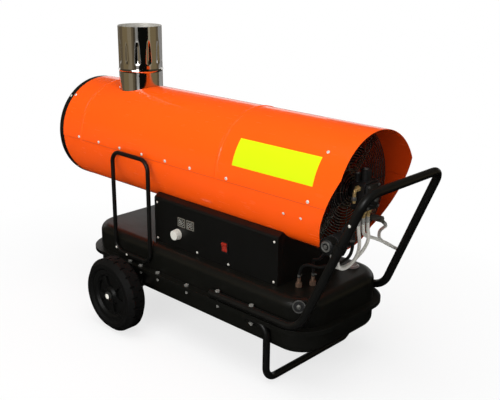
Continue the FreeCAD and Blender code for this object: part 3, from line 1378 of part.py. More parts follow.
def hose(name, points, diameter):
    """Tube along a route whose arcs are as large as its runs allow."""
    radii = []
    for i in range(1, len(points) - 1):
        back = points[i - 1] - points[i]
        ahead = points[i + 1] - points[i]
        half = (math.pi - back.getAngle(ahead)) / 2
        radii.append(0.45 * min(back.Length, ahead.Length) / math.tan(half))
    wire = path_wire(points, radii)
    tube = swept(wire, diameter / 2)
    expected = math.pi * diameter ** 2 / 4 * wire.Length
    share = tube.Volume / expected
    print(f"{name}: length {wire.Length:.0f}, tightest bend {min(radii):.0f}, volume ratio {share:.4f}")
    return tube


def along(start, steps):
    """Route points at the given steps from a start point."""
    return [start + vec(*step) for step in steps]


def nozzle_line():
    """From the pump's middle outlet across to the far leg, round behind it and back to the guard's rim."""
    start = fitting_end(pump_outlets()[1], -AXIS_Z)
    end = nozzle_union_end()
    out = along(start, [(0, 0, 0), (0, 0, -29), (-6, 16, -59), (-7, 62, -77), (-14, 112, -101),
                        (-20, 158, -124)])
    back = along(end, [(13, 53, -94), (12, 95, -116), (-10, 113, -123.5), (-39, 114.5, -120),
                       (-59.5, 97.5, -106), (-62.5, 77, -88), (-53, 64, -59), (-26, 44, -36)])
    return out + back + [end + nozzle_union_way() * 27, end]


def supply_line():
    """From the pump's near outlet in a hanging bow to the filter's underside."""
    start = fitting_end(pump_outlets()[0], -AXIS_Z)
    end = filter_ports()[0]
    out = along(start, [(0, 0, 0), (0, 0, -31), (9, -2, -62), (19, -20, -87)])
    back = along(end, [(-4, 82.5, -43), (-1.5, 50.5, -51), (-0.2, 19.8, -47.8), (0, 0, -28), (0, 0, 0)])
    return out + back


def return_line():
    """From the filter's underside in a lower bow to the pump's far outlet."""
    start = fitting_end(pump_outlets()[2], -AXIS_Z)
    end = filter_ports()[1]
    out = along(start, [(0, 0, 0), (0, 0, -31), (14, -8, -62), (17, -34, -86), (16, -66, -102)])
    back = along(end, [(5, 84.5, -53), (2, 51.5, -57), (0, 19.8, -47.8), (0, 0, -28), (0, 0, 0)])
    return out + back


def feed_line():
    """From the tank's inner union up to the filter's outlet-side port."""
    start = fitting_end(top_openings()[3][0], AXIS_Z)
    end = filter_ports()[2]
    out = along(start, [(0, 0, 0), (0, 0, 28), (12, -18, 58), (38, -46, 76)])
    return out + along(end, [(-43, 8, -48), (-19.8, 0, -19.8), (0, 0, 0)])


def drain_line():
    """From the filter's bent pipe back to the tank's outer union."""
    start = filter_ports()[3]
    end = fitting_end(top_openings()[2][0], AXIS_Z)
    out = along(start, [(0, 0, 0), (0, 0, -26), (-7.8, 1.5, -52), (-27, 5, -74), (-57, 10, -95),
                        (-97, 15.5, -114)])
    return out + along(end, [(75, -6, 56), (43, -3, 54), (19, -1, 46), (0, 0, 25), (0, 0, 0)])


def hose_routes():
    """Diameter and route of each hose."""
    return {
        "braided_hose_nozzle": (BRAID_D, nozzle_line()), "braided_hose_supply": (BRAID_D, supply_line()),
        "braided_hose_return": (BRAID_D, return_line()), "fuel_hose_feed": (RUBBER_D, feed_line()),
        "fuel_hose_return": (RUBBER_D, drain_line()),
    }


# Screw heads on the sheet metal

def screw_head(place, direction):
    """Pan head with its flat side on the sheet."""
    return Part.makeCone(SCREW_R, SCREW_TOP_R, SCREW_HEIGHT, place + direction * SEAT, direction)


def barrel_screw(x, turn):
    """Screw head on the barrel's near side; the turn is up from level."""
    angle = math.radians(turn)
    direction = vec(0, -math.cos(angle), math.sin(angle))
    return screw_head(vec(x, 0, BARREL_Z) + direction * BARREL_R, direction)


def casing_screws():
    """Screws along the casing seams, round the outlet and on the hood."""
    rise = math.degrees(math.asin(SEAM_SCREW_RISE / BARREL_R))
    xs = [CASING_X0 + SEAM_SCREW_FIRST + i * SEAM_SCREW_PITCH for i in range(SEAM_SCREWS)]
    xs += [SECTION_X + REAR_SCREW_FRONT, CASING_X1 - REAR_SCREW_BACK]
    heads = [barrel_screw(x, rise) for x in xs]
    heads.append(barrel_screw(CASING_X1 - REAR_SCREW_BACK + SEAM_LAP, HIGH_SCREW_TURN))
    heads.append(barrel_screw(CASING_X0 + SEAM_LAP / 2, HIGH_SCREW_TURN))
    return both_sides(heads)


def panel_screws():
    """Screws in the corners and along the foot of the control panel."""
    left = PANEL_SCREW_INSET
    right = BOX_LENGTH - PANEL_SCREW_INSET
    top = BOX_FACE - PANEL_SCREW_LOW - BOX_BEND / 2
    span = right - left
    places = [(x, PANEL_SCREW_LOW) for x in (left, left + span * 0.37, left + span * 0.64, right)]
    places += [(left, top), (right, top)]
    return [screw_head(panel_point(x, z), -AXIS_Y) for x, z in places]


def parts():
    """All named pieces of the heater."""
    loop = support_loop()
    bracket = axle_bracket()
    rim = wheel_rim()
    rubber = tyre()
    pieces = {
        "outlet_ring": outlet_ring(), "upper_casing_front": upper_casing_front(),
        "upper_casing_rear": upper_casing_rear(), "lower_casing": lower_casing(), "flue_pipe": flue_pipe(),
        "heat_exchanger": heat_exchanger(), "combustion_chamber": combustion_chamber(),
        "exchanger_brackets": exchanger_brackets(), "burner_plate": burner_plate(),
        "blast_tube": blast_tube(), "diffuser_disc": diffuser_disc(), "fuel_nozzle": fuel_nozzle(),
        "ignition_electrodes": ignition_electrodes(), "fan": fan(), "motor_shaft": motor_shaft(),
        "fan_motor": fan_motor(), "motor_bracket": motor_bracket(),
        "fan_guard": fan_guard(), "fuel_pump": fuel_pump(), "pump_fittings": pump_fittings(),
        "nozzle_union": nozzle_union(), "tank_upper": tank_upper(), "tank_lower": tank_lower(),
        "drain_plug": drain_plug(), "filler_neck": filler_neck(), "filler_cap": filler_cap(),
        "fuel_gauge": fuel_gauge(), "tank_fittings": tank_fittings(), "tank_bolts": tank_bolts(),
        "control_panel": control_panel(), "control_box": control_box(), "cable_gland": cable_gland(),
        "thermostat_body": thermostat_body(), "thermostat_knob": thermostat_knob(),
        "digit_displays": digit_displays(), "switch_body": switch_body(), "rocker_switch": rocker_switch(),
        "ignition_transformer": ignition_transformer(), "control_board": control_board(),
        "handle_tube": handle_tube(), "support_loop_near": loop, "support_loop_far": mirrored(loop),
        "foot_tube": foot_tube(), "axle": axle(), "axle_bracket_near": bracket,
        "axle_bracket_far": mirrored(bracket), "axle_nuts": axle_nuts(), "wheel_rim_near": rim,
        "wheel_rim_far": mirrored(rim), "tyre_near": rubber, "tyre_far": mirrored(rubber),
        "fuel_filter": fuel_filter(), "filter_clamp": filter_clamp(),
        "sheet_screws": Part.makeCompound(casing_screws() + panel_screws()), "tank_plug": tank_plug(),
    }
    for name, (diameter, points) in hose_routes().items():
        pieces[name] = hose(name, points, diameter)
    return pieces


os.makedirs("parts", exist_ok=True)
for node, shape in parts().items():
    shape.exportStep(f"parts/{node}.step")
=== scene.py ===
"""Looks of a flued diesel heater on a trolley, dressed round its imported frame."""
import json
import logging
import math
from dataclasses import dataclass, field
from enum import Enum
from typing import Callable, ClassVar, Dict, List, Optional, Sequence, Tuple

import bmesh
import bpy
from mathutils import Matrix, Vector


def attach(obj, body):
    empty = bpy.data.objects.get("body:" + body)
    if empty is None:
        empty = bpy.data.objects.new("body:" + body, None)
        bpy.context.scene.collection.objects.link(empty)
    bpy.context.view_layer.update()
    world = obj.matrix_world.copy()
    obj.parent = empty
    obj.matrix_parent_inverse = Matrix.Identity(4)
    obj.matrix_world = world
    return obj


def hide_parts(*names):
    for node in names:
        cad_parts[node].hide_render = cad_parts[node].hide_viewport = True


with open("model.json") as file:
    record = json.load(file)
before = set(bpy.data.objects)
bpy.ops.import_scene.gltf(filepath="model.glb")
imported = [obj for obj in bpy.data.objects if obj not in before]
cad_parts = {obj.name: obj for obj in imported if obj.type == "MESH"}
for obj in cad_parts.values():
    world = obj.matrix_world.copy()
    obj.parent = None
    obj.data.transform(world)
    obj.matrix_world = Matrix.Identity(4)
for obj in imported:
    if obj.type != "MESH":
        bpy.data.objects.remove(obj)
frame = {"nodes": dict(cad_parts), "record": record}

LOG = logging.getLogger("heater")
Colour = Tuple[float, float, float]
Point = Tuple[float, float, float]
Pair = Tuple[float, float]
Socket = bpy.types.NodeSocket
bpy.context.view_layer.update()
BARREL_AXIS = 0.584


class Body(Enum):
    """Bodies that new pieces ride on."""

    HEATER = "heater"


class Side(Enum):
    """Sides of the heater, as the sign of Y."""

    NEAR = -1
    FAR = 1


class TentCloth(Enum):
    """Cloths of the reflection tent, by their glow."""

    BLACK = (0.004, 0.004, 0.0035)
    UMBER = (0.063, 0.0515, 0.035)
    BROWN = (0.124, 0.098, 0.063)
    FAWN = (0.197, 0.153, 0.0855)
    PALE = (0.239, 0.201, 0.1395)
    CREAM = (0.338, 0.3, 0.218)


def rgba(colour: Colour) -> Tuple[float, float, float, float]:
    """Colour with full alpha."""
    return (colour[0], colour[1], colour[2], 1.0)


class NodeDesk:
    """Places and joins shader nodes in one tree.

    Attributes:
        MIX_INPUTS: The Mix node's inputs for the mask and two colours.
        MIX_RESULT: The Mix node's output for a colour.
    """

    MIX_INPUTS = (0, 6, 7)
    MIX_RESULT = 2

    def __init__(self, tree: bpy.types.NodeTree) -> None:
        """Keep the tree to work on."""
        self.tree = tree

    def add(self, kind: str, **settings: object) -> bpy.types.Node:
        """Add a node.

        Args:
            kind: Blender's name of the node type.
            **settings: Properties to set on it.

        Returns:
            The new node.
        """
        node = self.tree.nodes.new(kind)
        for key, value in settings.items():
            setattr(node, key, value)
        return node

    def feed(self, socket: Socket, value: object) -> None:
        """Link a socket to another, or give it a plain value.

        Args:
            socket: Input to feed.
            value: Output socket or plain value.
        """
        if isinstance(value, Socket):
            self.tree.links.new(value, socket)
        else:
            socket.default_value = value

    def maths(self, operation: str, first: object, second: object = 0.0, clamp: bool = False) -> Socket:
        """One step of arithmetic.

        Args:
            operation: Name of the operation.
            first: Socket or number.
            second: Socket or number.
            clamp: Whether to hold the result between 0 and 1.

        Returns:
            The result's socket.
        """
        node = self.add("ShaderNodeMath", operation=operation, use_clamp=clamp)
        self.feed(node.inputs[0], first)
        self.feed(node.inputs[1], second)
        return node.outputs[0]

    def ramp(self, value: Socket, low: float, high: float, to_low: float = 0.0,
             to_high: float = 1.0) -> Socket:
        """Map a range of values to another.

        Args:
            value: Socket to map.
            low: Start of the range.
            high: End of the range.
            to_low: Value at the start.
            to_high: Value at the end.

        Returns:
            The mapped socket.
        """
        node = self.add("ShaderNodeMapRange")
        for index, number in enumerate((low, high, to_low, to_high), start=1):
            node.inputs[index].default_value = number
        self.feed(node.inputs[0], value)
        return node.outputs[0]

    def mix(self, mask: object, first: object, second: object) -> Socket:
        """Mix two colours by a mask.

        Args:
            mask: Share of the second colour.
            first: Colour where the mask is 0.
            second: Colour where the mask is 1.

        Returns:
            The mixed colour's socket.
        """
        node = self.add("ShaderNodeMix", data_type="RGBA")
        for index, value in zip(self.MIX_INPUTS, (mask, first, second)):
            self.feed(node.inputs[index], value)
        return node.outputs[self.MIX_RESULT]

    def place(self, stretch: Point = (1.0, 1.0, 1.0)) -> Socket:
        """Object coordinates, stretched along the axes.

        Args:
            stretch: Scale along each axis.

        Returns:
            The coordinates' socket.
        """
        coordinates = self.add("ShaderNodeTexCoord")
        mapping = self.add("ShaderNodeMapping")
        mapping.inputs["Scale"].default_value = stretch
        self.feed(mapping.inputs["Vector"], coordinates.outputs["Object"])
        return mapping.outputs["Vector"]

    def noise(self, scale: object, detail: float, vector: Socket) -> Socket:
        """Fractal noise between 0 and 1.

        Args:
            scale: Socket or number of its cycles per metre.
            detail: Number of finer layers.
            vector: Coordinates to read.

        Returns:
            The noise's socket.
        """
        node = self.add("ShaderNodeTexNoise")
        self.feed(node.inputs["Scale"], scale)
        node.inputs["Detail"].default_value = detail
        self.feed(node.inputs["Vector"], vector)
        return node.outputs["Fac"]

    def group(self, tree: bpy.types.NodeTree, **values: object) -> bpy.types.Node:
        """Place a node group.

        Args:
            tree: The group.
            **values: Values or sockets for its inputs, by name.

        Returns:
            The group's node.
        """
        node = self.add("ShaderNodeGroup", node_tree=tree)
        for key, value in values.items():
            self.feed(node.inputs[key], value)
        return node


class EffectShelf:
    """Shader node groups that the finishes share, each built once.

    Attributes:
        COARSE_SHARE: Scale of the coarser grain, as a share of the fine one's.
        STREAK: Stretch that draws noise out into streaks along the heater.
    """

    COARSE_SHARE = 0.17
    STREAK = (0.6, 9.0, 9.0)

    def __init__(self) -> None:
        """Build every group."""
        self.drift = self._tone_drift()
        self.wear = self._edge_wear()
        self.dust = self._settled_dust()
        self.spread = self._gloss_spread()
        self.grain = self._surface_grain()

    @staticmethod
    def _start(name: str, inputs: Dict[str, Tuple[str, object]],
               outputs: Dict[str, str]) -> Tuple[NodeDesk, bpy.types.Node, bpy.types.Node]:
        """Start a group with named sockets.

        Args:
            name: The group's name.
            inputs: Socket type and default of each input.
            outputs: Socket type of each output.

        Returns:
            The desk of its tree, its input node and its output node.
        """
        tree = bpy.data.node_groups.new(name, "ShaderNodeTree")
        for label, (kind, default) in inputs.items():
            socket = tree.interface.new_socket(label, in_out="INPUT", socket_type=kind)
            socket.default_value = default
        for label, kind in outputs.items():
            tree.interface.new_socket(label, in_out="OUTPUT", socket_type=kind)
        desk = NodeDesk(tree)
        return desk, desk.add("NodeGroupInput"), desk.add("NodeGroupOutput")

    def _tone_drift(self) -> bpy.types.NodeTree:
        """Slow drift of a colour over the surface.

        Returns:
            The group.
        """
        desk, entry, leave = self._start(
            "tone_drift",
            {"Colour": ("NodeSocketColor", (0.5, 0.5, 0.5, 1.0)), "Amount": ("NodeSocketFloat", 0.1),
             "Scale": ("NodeSocketFloat", 6.0)},
            {"Colour": "NodeSocketColor"})
        cloud = desk.noise(entry.outputs["Scale"], detail=4.0, vector=desk.place())
        swing = desk.maths("MULTIPLY", desk.maths("SUBTRACT", cloud, 0.5), entry.outputs["Amount"])
        hue = desk.add("ShaderNodeHueSaturation")
        desk.feed(hue.inputs["Value"], desk.maths("ADD", swing, 1.0))
        desk.feed(hue.inputs["Color"], entry.outputs["Colour"])
        desk.feed(leave.inputs["Colour"], hue.outputs["Color"])
        return desk.tree

    def _edge_wear(self) -> bpy.types.NodeTree:
        """Mask along sharp edges, broken up by noise.

        Returns:
            The group.
        """
        desk, entry, leave = self._start(
            "edge_wear",
            {"Radius": ("NodeSocketFloat", 0.002), "Amount": ("NodeSocketFloat", 0.5),
             "Scale": ("NodeSocketFloat", 60.0)},
            {"Mask": "NodeSocketFloat"})
        bevel = desk.add("ShaderNodeBevel", samples=4)
        desk.feed(bevel.inputs["Radius"], entry.outputs["Radius"])
        geometry = desk.add("ShaderNodeNewGeometry")
        dot = desk.add("ShaderNodeVectorMath", operation="DOT_PRODUCT")
        desk.feed(dot.inputs[0], bevel.outputs["Normal"])
        desk.feed(dot.inputs[1], geometry.outputs["Normal"])
        edge = desk.ramp(dot.outputs["Value"], low=0.99, high=0.8)
        cloud = desk.noise(entry.outputs["Scale"], detail=5.0, vector=desk.place())
        broken = desk.maths("MULTIPLY", edge, desk.ramp(cloud, low=0.45, high=0.7))
        mask = desk.maths("MULTIPLY", broken, entry.outputs["Amount"], clamp=True)
        desk.feed(leave.inputs["Mask"], mask)
        return desk.tree

    def _settled_dust(self) -> bpy.types.NodeTree:
        """Mask on surfaces that face up.

        Returns:
            The group.
        """
        desk, entry, leave = self._start(
            "settled_dust",
            {"Amount": ("NodeSocketFloat", 0.1), "Scale": ("NodeSocketFloat", 16.0)},
            {"Mask": "NodeSocketFloat"})
        geometry = desk.add("ShaderNodeNewGeometry")
        parts = desk.add("ShaderNodeSeparateXYZ")
        desk.feed(parts.inputs[0], geometry.outputs["Normal"])
        level = desk.ramp(parts.outputs["Z"], low=0.2, high=1.0)
        cloud = desk.noise(entry.outputs["Scale"], detail=6.0, vector=desk.place())
        settled = desk.maths("MULTIPLY", level, desk.ramp(cloud, low=0.35, high=0.75, to_low=0.2))
        mask = desk.maths("MULTIPLY", settled, entry.outputs["Amount"], clamp=True)
        desk.feed(leave.inputs["Mask"], mask)
        return desk.tree

    def _gloss_spread(self) -> bpy.types.NodeTree:
        """Roughness that changes in soft patches and fine streaks.

        Returns:
            The group.
        """
        desk, entry, leave = self._start(
            "gloss_spread",
            {"Level": ("NodeSocketFloat", 0.4), "Spread": ("NodeSocketFloat", 0.1),
             "Scale": ("NodeSocketFloat", 20.0)},
            {"Roughness": "NodeSocketFloat"})
        patch = desk.noise(entry.outputs["Scale"], detail=5.0, vector=desk.place())
        streak = desk.noise(entry.outputs["Scale"], detail=3.0, vector=desk.place(self.STREAK))
        both = desk.maths("SUBTRACT", desk.maths("ADD", patch, streak), 1.0)
        swing = desk.maths("MULTIPLY", both, entry.outputs["Spread"])
        rough = desk.maths("ADD", swing, entry.outputs["Level"], clamp=True)
        desk.feed(leave.inputs["Roughness"], rough)
        return desk.tree

    def _surface_grain(self) -> bpy.types.NodeTree:
        """Height of a fine grain, from two sizes of noise.

        Returns:
            The group.
        """
        desk, entry, leave = self._start(
            "surface_grain",
            {"Scale": ("NodeSocketFloat", 400.0), "Coarse": ("NodeSocketFloat", 0.5)},
            {"Height": "NodeSocketFloat"})
        fine = desk.noise(entry.outputs["Scale"], detail=2.0, vector=desk.place())
        wide_scale = desk.maths("MULTIPLY", entry.outputs["Scale"], self.COARSE_SHARE)
        wide = desk.noise(wide_scale, detail=2.0, vector=desk.place())
        coarse = desk.maths("MULTIPLY", wide, entry.outputs["Coarse"])
        desk.feed(leave.inputs["Height"], desk.maths("ADD", fine, coarse))
        return desk.tree


EFFECTS = EffectShelf()


@dataclass(frozen=True)
class Finish:
    """A surface finish: its colour, gloss and grain.

    Attributes:
        name: The material's name.
        colour: Main colour, linear.
        roughness: Middle roughness.
        spread: How far the roughness changes.
        drift: How far the colour changes.
        grain: Grain scale in cycles per metre.
        depth: Grain depth in metres.
        coarse: Share of the coarser grain.
        wear: Amount of edge wear.
        bare: Colour that the wear shows.
        dust: Amount of dust on top.
        metallic: Metallic level.
        coat: Clear coat weight.
        specular: Specular level.
        DUST_COLOUR: Colour of settled dust.
        COAT_ROUGHNESS: Roughness of every clear coat.
        BUMP_STRENGTH: Strength of every grain.
    """

    DUST_COLOUR: ClassVar[Colour] = (0.42, 0.4, 0.37)
    COAT_ROUGHNESS: ClassVar[float] = 0.06
    BUMP_STRENGTH: ClassVar[float] = 0.6

    name: str
    colour: Colour
    roughness: float
    spread: float = 0.08
    drift: float = 0.12
    grain: float = 400.0
    depth: float = 0.0002
    coarse: float = 0.5
    wear: float = 0.0
    bare: Colour = (0.4, 0.4, 0.4)
    dust: float = 0.0
    metallic: float = 0.0
    coat: float = 0.0
    specular: float = 0.5

    def drifting(self, desk: NodeDesk) -> Socket:
        """Main colour with its drift."""
        return desk.group(EFFECTS.drift, Colour=rgba(self.colour), Amount=self.drift).outputs["Colour"]

    def colours(self, desk: NodeDesk) -> Socket:
        """Colour with drift, edge wear and dust.

        Args:
            desk: Desk of the material's tree.

        Returns:
            The colour's socket.
        """
        colour = self.drifting(desk)
        if self.wear:
            worn = desk.group(EFFECTS.wear, Amount=self.wear).outputs["Mask"]
            colour = desk.mix(worn, colour, rgba(self.bare))
        if self.dust:
            settled = desk.group(EFFECTS.dust, Amount=self.dust).outputs["Mask"]
            colour = desk.mix(settled, colour, rgba(self.DUST_COLOUR))
        return colour

    def height(self, desk: NodeDesk) -> Socket:
        """Height of the surface's grain."""
        return desk.group(EFFECTS.grain, Scale=self.grain, Coarse=self.coarse).outputs["Height"]

    def build(self) -> bpy.types.Material:
        """Build the material.

        Returns:
            The finished material.
        """
        material = bpy.data.materials.new(self.name)
        material.use_nodes = True
        desk = NodeDesk(material.node_tree)
        shader = material.node_tree.nodes["Principled BSDF"]
        shader.inputs["Metallic"].default_value = self.metallic
        shader.inputs["Specular IOR Level"].default_value = self.specular
        shader.inputs["Coat Weight"].default_value = self.coat
        shader.inputs["Coat Roughness"].default_value = self.COAT_ROUGHNESS
        desk.feed(shader.inputs["Base Color"], self.colours(desk))
        gloss = desk.group(EFFECTS.spread, Level=self.roughness, Spread=self.spread)
        desk.feed(shader.inputs["Roughness"], gloss.outputs["Roughness"])
        bump = desk.add("ShaderNodeBump")
        bump.inputs["Strength"].default_value = self.BUMP_STRENGTH
        bump.inputs["Distance"].default_value = self.depth
        desk.feed(bump.inputs["Height"], self.height(desk))
        desk.feed(shader.inputs["Normal"], bump.outputs["Normal"])
        return material


@dataclass(frozen=True)
class ZonedFinish(Finish):
    """Finish with a second colour inside a radius round an axis.

    Attributes:
        centre: A point of the axis.
        across: One for each direction square to the axis, zero along it.
        radius: Radius where the colour changes.
        inner: Colour inside that radius.
        blur: Half the width of the change.
    """

    centre: Point = (0.0, 0.0, 0.0)
    across: Point = (0.0, 1.0, 1.0)
    radius: float = 0.1
    inner: Colour = (0.5, 0.5, 0.5)
    blur: float = 0.0002

    def colours(self, desk: NodeDesk) -> Socket:
        """Outer colour, and the inner one near the axis.

        Args:
            desk: Desk of the material's tree.

        Returns:
            The colour's socket.
        """
        outer = super().colours(desk)
        place = desk.add("ShaderNodeMapping")
        place.inputs["Location"].default_value = tuple(-c * a for c, a in zip(self.centre, self.across))
        place.inputs["Scale"].default_value = self.across
        desk.feed(place.inputs["Vector"], desk.add("ShaderNodeTexCoord").outputs["Object"])
        reach = desk.add("ShaderNodeVectorMath", operation="LENGTH")
        desk.feed(reach.inputs[0], place.outputs["Vector"])
        outside = desk.ramp(reach.outputs["Value"], self.radius - self.blur, self.radius + self.blur)
        return desk.mix(outside, rgba(self.inner), outer)


@dataclass(frozen=True)
class BraidFinish(Finish):
    """Woven steel braid that follows a hose by its ring attribute.

    Attributes:
        strands: Strands round the hose in each direction.
        lay: Turn of the strands along the hose, in radians per metre.
        gap: Colour of the painted shade between the strands.
        shade: Share of that painted shade in the deepest gaps.
    """

    strands: float = 7.0
    lay: float = 1300.0
    gap: Colour = (0.2, 0.195, 0.175)
    shade: float = 0.75

    def _weave(self, desk: NodeDesk) -> Socket:
        """Height of two crossing helices of strands.

        Args:
            desk: Desk of the material's tree.

        Returns:
            The height's socket, from 0 to 1.
        """
        ring = desk.add("ShaderNodeAttribute", attribute_name="ring")
        parts = desk.add("ShaderNodeSeparateXYZ")
        desk.feed(parts.inputs[0], ring.outputs["Vector"])
        turn = desk.maths("ARCTAN2", parts.outputs["Y"], parts.outputs["X"])
        around = desk.maths("MULTIPLY", turn, self.strands)
        along = desk.maths("MULTIPLY", parts.outputs["Z"], self.lay)
        left = desk.maths("SINE", desk.maths("ADD", around, along))
        right = desk.maths("SINE", desk.maths("SUBTRACT", around, along))
        return desk.ramp(desk.maths("MAXIMUM", left, right), low=-1.0, high=1.0)

    def colours(self, desk: NodeDesk) -> Socket:
        """Colour with painted shade between the strands."""
        # The darker gaps are painted shade between the strands.
        dark = desk.ramp(self._weave(desk), low=0.25, high=0.75, to_low=self.shade, to_high=0.0)
        return desk.mix(dark, self.drifting(desk), rgba(self.gap))

    def height(self, desk: NodeDesk) -> Socket:
        """Height of the strands."""
        return self._weave(desk)


BLACK = (0.0048, 0.0048, 0.0043)
ORANGE = (1.0, 0.1, 0.0045)
BRIGHT_ZINC = (0.84, 0.82, 0.74)
SLOT_FINISHES: Dict[str, Finish] = {
    "black_paint": Finish(
        "black_satin_coat", BLACK, 0.36, spread=0.1, drift=0.25, grain=520.0, depth=0.00012, wear=0.3,
        bare=(0.06, 0.06, 0.058), dust=0.004, coat=0.03, specular=0.32),
    "flue_steel": Finish(
        "polished_flue_steel", (0.72, 0.7, 0.66), 0.07, spread=0.05, drift=0.06, grain=900.0, depth=0.00003,
        metallic=1.0),
    "inner_steel": Finish(
        "heated_steel", (0.3, 0.28, 0.27), 0.42, spread=0.14, drift=0.5, grain=300.0, metallic=1.0),
    "zinc": Finish(
        "bright_zinc", (0.66, 0.65, 0.61), 0.26, spread=0.1, drift=0.2, grain=700.0, depth=0.00006,
        metallic=0.55),
    "cast_dark": Finish(
        "dark_casting", (0.009, 0.009, 0.0088), 0.45, spread=0.14, drift=0.35, grain=650.0, depth=0.0004,
        wear=0.6, bare=(0.3, 0.3, 0.3), coat=0.05),
    "brass": Finish(
        "turned_brass", (0.74, 0.52, 0.22), 0.28, spread=0.1, drift=0.25, grain=800.0, depth=0.00006,
        metallic=0.6),
    "hose_black": Finish(
        "rubber_hose", (0.006, 0.006, 0.0058), 0.42, spread=0.12, drift=0.3, grain=1100.0, depth=0.0001),
    "braid": BraidFinish(
        "steel_braid", (0.95, 0.93, 0.85), 0.3, drift=0.1, depth=0.0008, metallic=0.2),
    "tyre": Finish(
        "tyre_rubber", (0.0036, 0.0036, 0.0033), 0.68, spread=0.12, drift=0.4, grain=520.0, depth=0.0004,
        coarse=1.2, dust=0.003, specular=0.14),
    "wheel_black": Finish(
        "wheel_moulding", (0.0052, 0.0052, 0.0048), 0.4, spread=0.1, drift=0.3, grain=800.0, depth=0.00012,
        wear=0.15, bare=(0.03, 0.03, 0.03), dust=0.002, specular=0.22),
    "knob_white": Finish(
        "white_moulding", (0.66, 0.65, 0.585), 0.36, drift=0.06, grain=900.0, depth=0.00006),
    "rocker_red": Finish(
        "red_rocker_moulding", (0.3, 0.02, 0.011), 0.25, grain=700.0, depth=0.00004, coat=0.4),
    "display_grey": Finish(
        "display_frame_grey", (0.15, 0.143, 0.118), 0.4, drift=0.1, grain=800.0, depth=0.00006),
    "plastic_black": Finish(
        "black_moulding", (0.007, 0.007, 0.0068), 0.42, drift=0.3, grain=900.0, wear=0.2,
        bare=(0.05, 0.05, 0.05), specular=0.35),
    "gauge_pale": Finish(
        "pale_dial_moulding", (0.24, 0.215, 0.21), 0.3, drift=0.08, grain=900.0, depth=0.00005, coat=0.5),
    "ceramic": Finish(
        "ceramic_sleeve", (0.8, 0.79, 0.73), 0.28, drift=0.1, grain=600.0, depth=0.00006, coat=0.3),
    "board": Finish(
        "circuit_board_green", (0.03, 0.16, 0.07), 0.4, drift=0.3, grain=500.0),
}
PATCH_YELLOW = Finish(
    "plain_yellow_foil", (0.61, 0.75, 0.004), 0.34, drift=0.03, grain=500.0, depth=0.00003, specular=0.15)
# Painted shadow that the upper casings' edges cast on the lower casing.
SEAM_PAINTED_SHADOW = Finish(
    "seam_painted_shadow", (0.72, 0.068, 0.0035), 0.5, drift=0.2, grain=500.0, depth=0.00005, specular=0.2)
WINDOW_DARK = Finish(
    "display_window_dark", (0.012, 0.012, 0.011), 0.2, drift=0.2, grain=600.0, depth=0.00002, coat=0.6)
SEGMENT_GREY = Finish(
    "display_segment_grey", (0.33, 0.32, 0.28), 0.35, drift=0.08, grain=900.0, depth=0.00003)
SCREW_BRIGHT = Finish(
    "bright_screw_zinc", BRIGHT_ZINC, 0.3, spread=0.1, drift=0.15, grain=700.0, depth=0.00005, metallic=0.25)
# Painted shade of the screws' cross recess.
RECESS_PAINTED_SHADE = Finish(
    "screw_recess_painted_shade", (0.06, 0.06, 0.06), 0.5, drift=0.2, grain=900.0, depth=0.00005, metallic=0.6)
GUARD_GREY = Finish(
    "guard_wire_grey", (0.24, 0.235, 0.215), 0.24, spread=0.1, drift=0.3, grain=700.0, depth=0.00004,
    metallic=0.9)
DULL_ZINC = Finish(
    "dull_zinc", (0.13, 0.128, 0.117), 0.36, spread=0.12, drift=0.3, grain=700.0, depth=0.00006, metallic=0.5)
RIM_GREY = Finish(
    "rubbed_rim_grey", (0.055, 0.055, 0.051), 0.38, spread=0.1, drift=0.3, grain=700.0, depth=0.00006)
FLUE_INSIDE = Finish(
    "satin_flue_inside", (0.62, 0.6, 0.55), 0.42, spread=0.1, drift=0.3, grain=600.0, depth=0.00005,
    metallic=0.3)
FLOOR_PALE = Finish(
    "pale_floor", (0.9, 0.9, 0.9), 0.8, drift=0.01, grain=60.0, depth=0.00002, specular=0.1)
UNION_STEEL = Finish(
    "union_steel", (0.2, 0.19, 0.16), 0.34, spread=0.12, drift=0.3, grain=700.0, depth=0.00006, metallic=0.7)
BOLT_GREY = Finish(
    "rubbed_bolt_grey", (0.32, 0.315, 0.29), 0.3, spread=0.1, drift=0.3, grain=700.0, depth=0.00006,
    metallic=0.4)
AXLE_NUT = ZonedFinish(
    "axle_cap_zinc", (0.03, 0.03, 0.028), 0.34, spread=0.1, drift=0.3, grain=700.0, depth=0.00006,
    centre=(-0.2365, 0.0, 0.125), across=(1.0, 0.0, 1.0), radius=0.0088, inner=BRIGHT_ZINC)
AGED_BRASS = Finish(
    "aged_brass", (0.26, 0.165, 0.115), 0.3, spread=0.12, drift=0.4, grain=800.0, depth=0.00006, metallic=0.6)
# Its edge wear is partly rubbed paint and partly a painted highlight along the flange's rim and fillets.
TANK_BLACK = Finish(
    "tank_satin_coat", (0.0058, 0.0058, 0.0046), 0.34, spread=0.1, drift=0.25, grain=520.0, depth=0.00012,
    wear=0.4, bare=(0.08, 0.08, 0.075), dust=0.002, coat=0.03, specular=0.25)


def casing_coat_painted_inner_shade(name: str, radius: float) -> ZonedFinish:
    """Orange gloss coat of a casing, with painted shade on its inside.

    Args:
        name: The material's name.
        radius: Radius round the barrel's axis where the painted shade of the inside starts.

    Returns:
        The finish.
    """
    return ZonedFinish(
        name, ORANGE, 0.26, spread=0.06, drift=0.07, grain=260.0, depth=0.00012, coarse=0.3, wear=0.25,
        bare=(0.5, 0.2, 0.1), coat=0.6, specular=0.1, centre=(0.0, 0.0, BARREL_AXIS), radius=radius,
        # The inner colour is painted shade on the casing's inside.
        inner=(0.46, 0.036, 0.0025))


